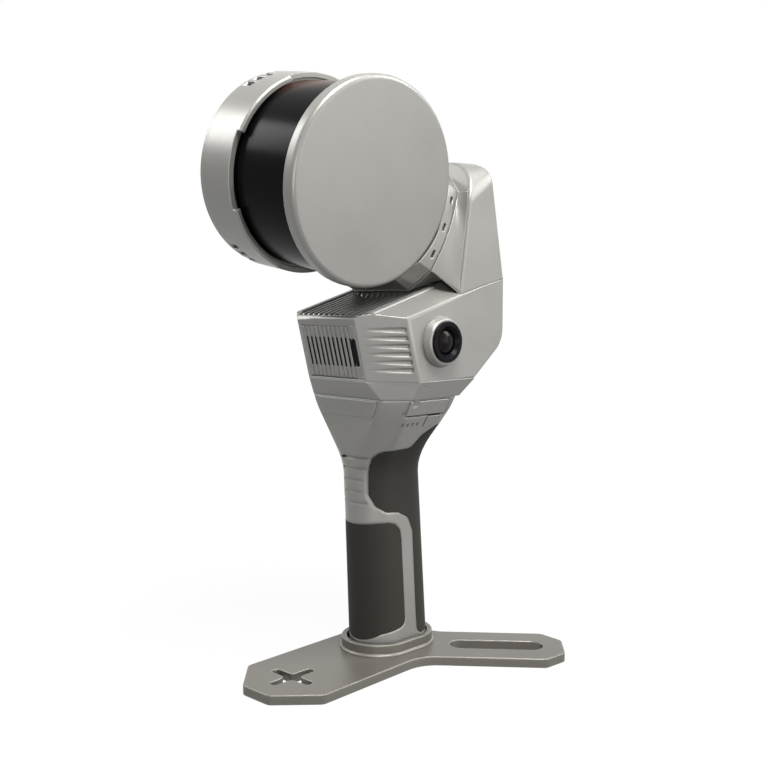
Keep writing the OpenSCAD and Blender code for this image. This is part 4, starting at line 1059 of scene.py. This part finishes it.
@dataclass
class Arm:
    """Arm behind the body with the twisted seat of the turning head."""

    finishes: Finishes
    half_width: float = 41.5
    crisp: float = 34.0
    front_round: float = 1.3
    back_round: float = 2.0
    long_edge: float = 40.0
    front_limit: float = 25.0
    side_reach: float = 0.1
    line_angle: float = 40.0
    line_bend: float = 40.0
    front_foot: tuple[float, float] = (13.23, 196.68)
    front_slope: float = 0.14406
    front_bend: float = 241.8
    seat_y: float = 11.1
    seat_z: float = 229.3
    seat_tilt: float = 26.0
    seat_half: float = 35.0
    seat_bow: float = 3.0
    seat_flat: float = 23.0
    fairing_edge: float = 40.3
    fairing_wall: float = 0.7
    rim_sink: float = 0.08
    front_proud: float = 0.05
    foot_lift: float = 0.4
    bend_length: float = 8.2
    bend_pull: float = 1.4

    def build_casting(self) -> None:
        """Arm cover with its long front and back corners rounded."""
        cover = merged_copy("arm_cover", "arm_casting", flat=0.3)
        side = self.half_width * MM
        for width, front in ((self.front_round, True), (self.back_round, False)):
            line: set[int] = set()
            with editing(cover) as mesh:
                mesh.edges.ensure_lookup_table()
                for edge in mesh.edges:
                    ends = [v.co for v in edge.verts]
                    upright = abs(ends[0].z - ends[1].z) > self.long_edge * MM and edge_angle(edge) > SHARP
                    ahead = edge_middle(edge).y < self.front_limit * MM
                    outside = all(abs(abs(c.x) - side) < self.side_reach * MM for c in ends)
                    if upright and ahead == front and outside:
                        line |= follow(edge, self.line_angle, self.line_bend)
            round_edges(cover, width * MM, 4, lambda e, line=line: e.index in line, clamp=False)
        smooth(cover, self.crisp, flats=True)
        self.finishes.fit(cover, Body.BASE, Slot.SILVER, ("arm_cover",))

    def front_y(self, z: float) -> float:
        """Depth of the arm's front face.

        Args:
            z: Height in millimetres.

        Returns:
            The depth in millimetres.
        """
        return self.front_foot[0] + (z - self.front_foot[1]) * self.front_slope

    def seat_point(self, along: float) -> Vector:
        """Point on the right rim of the head's seat.

        Args:
            along: Millimetres up the rim from its middle.

        Returns:
            The point in millimetres.
        """
        tilt = math.radians(self.seat_tilt)
        half = self.seat_half - self.seat_bow * (along / self.seat_flat) ** 2
        return Vector((half, self.seat_y + along * math.sin(tilt), self.seat_z + along * math.cos(tilt)))

    def build_fairing(self, side: Side) -> None:
        """Smooth flank from the rim of the head's seat to the arm's front corner.

        Args:
            side: Side of the arm.
        """
        bpy.ops.mesh.primitive_grid_add(x_subdivisions=8, y_subdivisions=20, size=2.0)
        fairing = bpy.context.active_object
        fairing.name = f"arm_fairing_{side.name.lower()}"
        with editing(fairing) as mesh:
            for vert in mesh.verts:
                across, up = (vert.co.x + 1) / 2, (vert.co.y + 1) / 2
                rim = self.seat_point((2 * up - 1) * self.seat_flat)
                rim.y += self.rim_sink
                low = self.front_foot[1] + self.foot_lift
                z = low + up * (rim.z - low)
                pull = max(0.0, z - self.front_bend) / self.bend_length
                edge = self.fairing_edge - pull * pull * self.bend_pull
                foot = Vector((edge, self.front_y(z) - self.front_proud, z))
                vert.co = rim.lerp(foot, across) * MM
                vert.co.x *= side.value
            bmesh.update_edit_mesh(fairing.data)
            bpy.ops.mesh.select_all(action="SELECT")
            if side is Side.LEFT:
                bpy.ops.mesh.flip_normals()
        thicken(fairing, self.fairing_wall * MM)
        smooth(fairing)
        self.finishes.fit(fairing, Body.BASE, Slot.SILVER)

    def build(self) -> None:
        """Builds the arm and the flanks of the head's seat."""
        self.build_casting()
        for side in Side:
            self.build_fairing(side)


@dataclass
class RangeFinder:
    """Drum range finder on the turning head."""

    finishes: Finishes
    centre: Point = (0.0, -42.1985, 255.2954)
    tilt: float = 26.0
    turn: float = -9.4
    skew: float = 3.4
    radius: float = 50.4
    window_radius: float = 46.5
    window_wall: float = 3.0
    window_foot: float = -13.3
    cap_back: float = 30.4
    front: float = 38.6
    cap_round: float = 2.6
    cap_back_round: float = 1.8

    def place(self) -> Matrix:
        """Frame on the drum's axis.

        Returns:
            The frame, with z towards the front cap.
        """
        return (
            Matrix.Translation(Vector(self.centre) * MM)
            @ Matrix.Rotation(math.radians(90 - self.tilt), 4, "X")
            @ Matrix.Rotation(math.radians(self.turn), 4, "Z")
            @ Matrix.Rotation(math.radians(90 + self.skew), 4, "Y")
        )

    def drum(self, name: str, radius: float, low: float, high: float) -> Piece:
        """Adds a plain round drum on the axis, in the drum's own frame.

        Args:
            name: Name of the piece.
            radius: Radius in millimetres.
            low: Back end along the axis.
            high: Front end along the axis.

        Returns:
            The new piece.
        """
        bpy.ops.mesh.primitive_cylinder_add(
            vertices=192, radius=radius * MM, depth=(high - low) * MM, location=(0, 0, (low + high) / 2 * MM)
        )
        piece = bpy.context.active_object
        piece.name = name
        settle(piece, Matrix.Identity(4))
        return piece

    def build_cap(self) -> None:
        """Front cap with a full round at its face and an eased back edge."""
        cap = self.drum("finder_cap", self.radius, self.cap_back, self.front)
        ends = ((self.front, self.cap_round, 8), (self.cap_back, self.cap_back_round, 6))
        for end, width, steps in ends:

            def rim(edge: Edge, end: float = end) -> bool:
                """Says whether an edge runs round this end of the cap."""
                return all(abs(v.co.z - end * MM) < SAME for v in edge.verts) and edge_angle(edge) > SHARP

            round_edges(cap, width * MM, steps, rim)
        smooth(cap, flats=True)
        settle(cap, self.place())
        self.finishes.fit(cap, Body.HEAD, Slot.SILVER, ("lidar_cap",))

    def build_window(self) -> None:
        """Dark window tube between the cup and the cap."""
        window = self.drum("finder_window", self.window_radius, self.window_foot, self.cap_back)
        with editing(window) as mesh:
            bpy.ops.mesh.select_mode(type="FACE")
            for face in mesh.faces:
                if abs(face.normal.z) > LEVEL:
                    face.select_set(True)
            bmesh.update_edit_mesh(window.data)
            bpy.ops.mesh.delete(type="ONLY_FACE")
        thicken(window, self.window_wall * MM)
        smooth(window)
        settle(window, self.place())
        self.finishes.fit(window, Body.HEAD, Slot.WINDOW, ("lidar_window",))

    def build(self) -> None:
        """Builds the cap and the window."""
        self.build_cap()
        self.build_window()


# Stage


@dataclass(frozen=True)
class Softbox:
    """One soft lamp aimed at the scanner."""

    name: str
    place: Point
    size: tuple[float, float]
    power: float
    tint: str = "#ffffff"

    def build(self, aim: Vector) -> None:
        """Adds the lamp.

        Args:
            aim: Point that it faces.
        """
        data = bpy.data.lights.new(self.name, "AREA")
        data.shape = "RECTANGLE"
        data.size, data.size_y = self.size
        data.energy = self.power
        data.color = colour(self.tint)[:3]
        lamp = bpy.data.objects.new(self.name, data)
        bpy.context.scene.collection.objects.link(lamp)
        lamp.location = self.place
        lamp.rotation_euler = (aim - lamp.location).to_track_quat("-Z", "Y").to_euler()


@dataclass
class Studio:
    """Floor, lamps, pale surroundings and the camera."""

    eye: Point = (0.3869, -0.3753, 0.1945)
    look_at: Point = (-0.00083, -0.00086, 0.1483)
    focal: float = 46.875
    sensor: float = 36.0
    floor_size: float = 40.0
    floor_drop: float = 0.0002
    floor_shade: float = 0.07
    floor_glow: float = 0.93
    glow_start: float = 0.15
    glow_end: float = 1.1
    aim: Point = (0.0, 0.0, 0.18)
    ambient: float = 0.02
    lamps: tuple[Softbox, ...] = (
        Softbox("left_key", (-0.790, -0.456, 0.795), (0.28, 0.36), 4.0),
        Softbox("overhead_right", (0.331, -0.121, 0.882), (0.36, 0.36), 9.8, "#fffdfa"),
        Softbox("low_right", (0.987, 0.460, 0.333), (0.6, 0.6), 2.2),
        Softbox("right_edge", (1.097, 0.038, 0.257), (0.12, 0.45), 0.5),
        Softbox("back_right_rim", (0.586, 0.699, 0.795), (0.45, 0.45), 6.0),
        Softbox("high_back_right", (0.493, 0.547, 0.997), (0.3, 0.3), 1.2),
        Softbox("camera_fill", (0.640, -0.640, 0.130), (0.4, 0.3), 2.0),
    )

    def build_camera(self) -> None:
        """Camera at the photograph's angle."""
        data = bpy.data.cameras.new("photo_camera")
        data.lens = self.focal
        data.sensor_width = self.sensor
        data.clip_start, data.clip_end = 0.01, 100.0
        camera = bpy.data.objects.new("photo_camera", data)
        bpy.context.scene.collection.objects.link(camera)
        camera.location = self.eye
        aim = Vector(self.look_at) - Vector(self.eye)
        camera.rotation_euler = aim.to_track_quat("-Z", "Y").to_euler()
        bpy.context.scene.camera = camera

    def build_world(self) -> None:
        """Pale surroundings, white where the camera, a gloss or glass sees them."""
        world = bpy.data.worlds.new("pale_room")
        bpy.context.scene.world = world
        world.use_nodes = True
        nodes = Nodes(world.node_tree)
        sky = world.node_tree.nodes["Background"]
        sky.inputs["Color"].default_value = (1.0, 1.0, 1.0, 1.0)
        level = nodes.add("ShaderNodeMapRange")
        level.inputs["To Min"].default_value = self.ambient
        level.inputs["To Max"].default_value = 1.0
        nodes.link(self.seen(nodes), level.inputs["Value"])
        nodes.link(level.outputs[0], sky.inputs["Strength"])

    @staticmethod
    def seen(nodes: Nodes) -> Socket:
        """Marks what the camera, a gloss or glass looks at.

        Args:
            nodes: Helper on the tree.

        Returns:
            A socket that is 1 there and 0 elsewhere.
        """
        path = nodes.add("ShaderNodeLightPath")
        direct = nodes.math("ADD", path.outputs["Is Camera Ray"], path.outputs["Is Glossy Ray"], clamp=True)
        return nodes.math("ADD", direct, path.outputs["Is Transmission Ray"], clamp=True)

    def build_floor(self) -> None:
        """Plain pale floor that keeps a soft shadow round the scanner."""
        bpy.ops.mesh.primitive_plane_add(size=self.floor_size, location=(0, 0, -self.floor_drop))
        floor = bpy.context.active_object
        floor.name = "studio_floor"
        material = bpy.data.materials.new("pale_floor")
        material.use_nodes = True
        nodes = Nodes(material.node_tree)
        shader = material.node_tree.nodes["Principled BSDF"]
        shader.inputs["Base Color"].default_value = (*(self.floor_shade,) * 3, 1.0)
        shader.inputs["Roughness"].default_value = 0.9
        shader.inputs["Specular IOR Level"].default_value = 0.0
        far = nodes.add("ShaderNodeVectorMath", operation="LENGTH")
        nodes.link(nodes.add("ShaderNodeTexCoord").outputs["Object"], far.inputs[0])
        level = nodes.add("ShaderNodeMapRange", interpolation_type="SMOOTHSTEP")
        level.inputs["From Min"].default_value = self.glow_start
        level.inputs["From Max"].default_value = self.glow_end
        level.inputs["To Min"].default_value = self.floor_glow
        level.inputs["To Max"].default_value = 1.0
        nodes.link(far.outputs["Value"], level.inputs["Value"])
        glow = nodes.add("ShaderNodeEmission")
        nodes.link(nodes.math("MULTIPLY", level.outputs[0], self.seen(nodes)), glow.inputs["Strength"])
        both = nodes.add("ShaderNodeAddShader")
        nodes.link(shader.outputs[0], both.inputs[0])
        nodes.link(glow.outputs[0], both.inputs[1])
        nodes.link(both.outputs[0], material.node_tree.nodes["Material Output"].inputs["Surface"])
        paint(floor, material)

    def build(self) -> None:
        """Builds the camera, the surroundings, the floor and the lamps."""
        bpy.context.scene.view_settings.view_transform = "Standard"
        self.build_camera()
        self.build_world()
        self.build_floor()
        for lamp in self.lamps:
            lamp.build(Vector(self.aim))


def main() -> None:
    """Builds the stage, the finishes and each sub-assembly in order."""
    logging.basicConfig(level=logging.INFO, format="%(name)s: %(message)s")
    Studio().build()
    finishes = Finishes(Effects())
    finishes.build()
    finishes.dress_solids()
    for assembly in (BasePlate, Grip, CameraBody, Arm, RangeFinder):
        assembly(finishes).build()


if __name__ == "__main__":
    main()
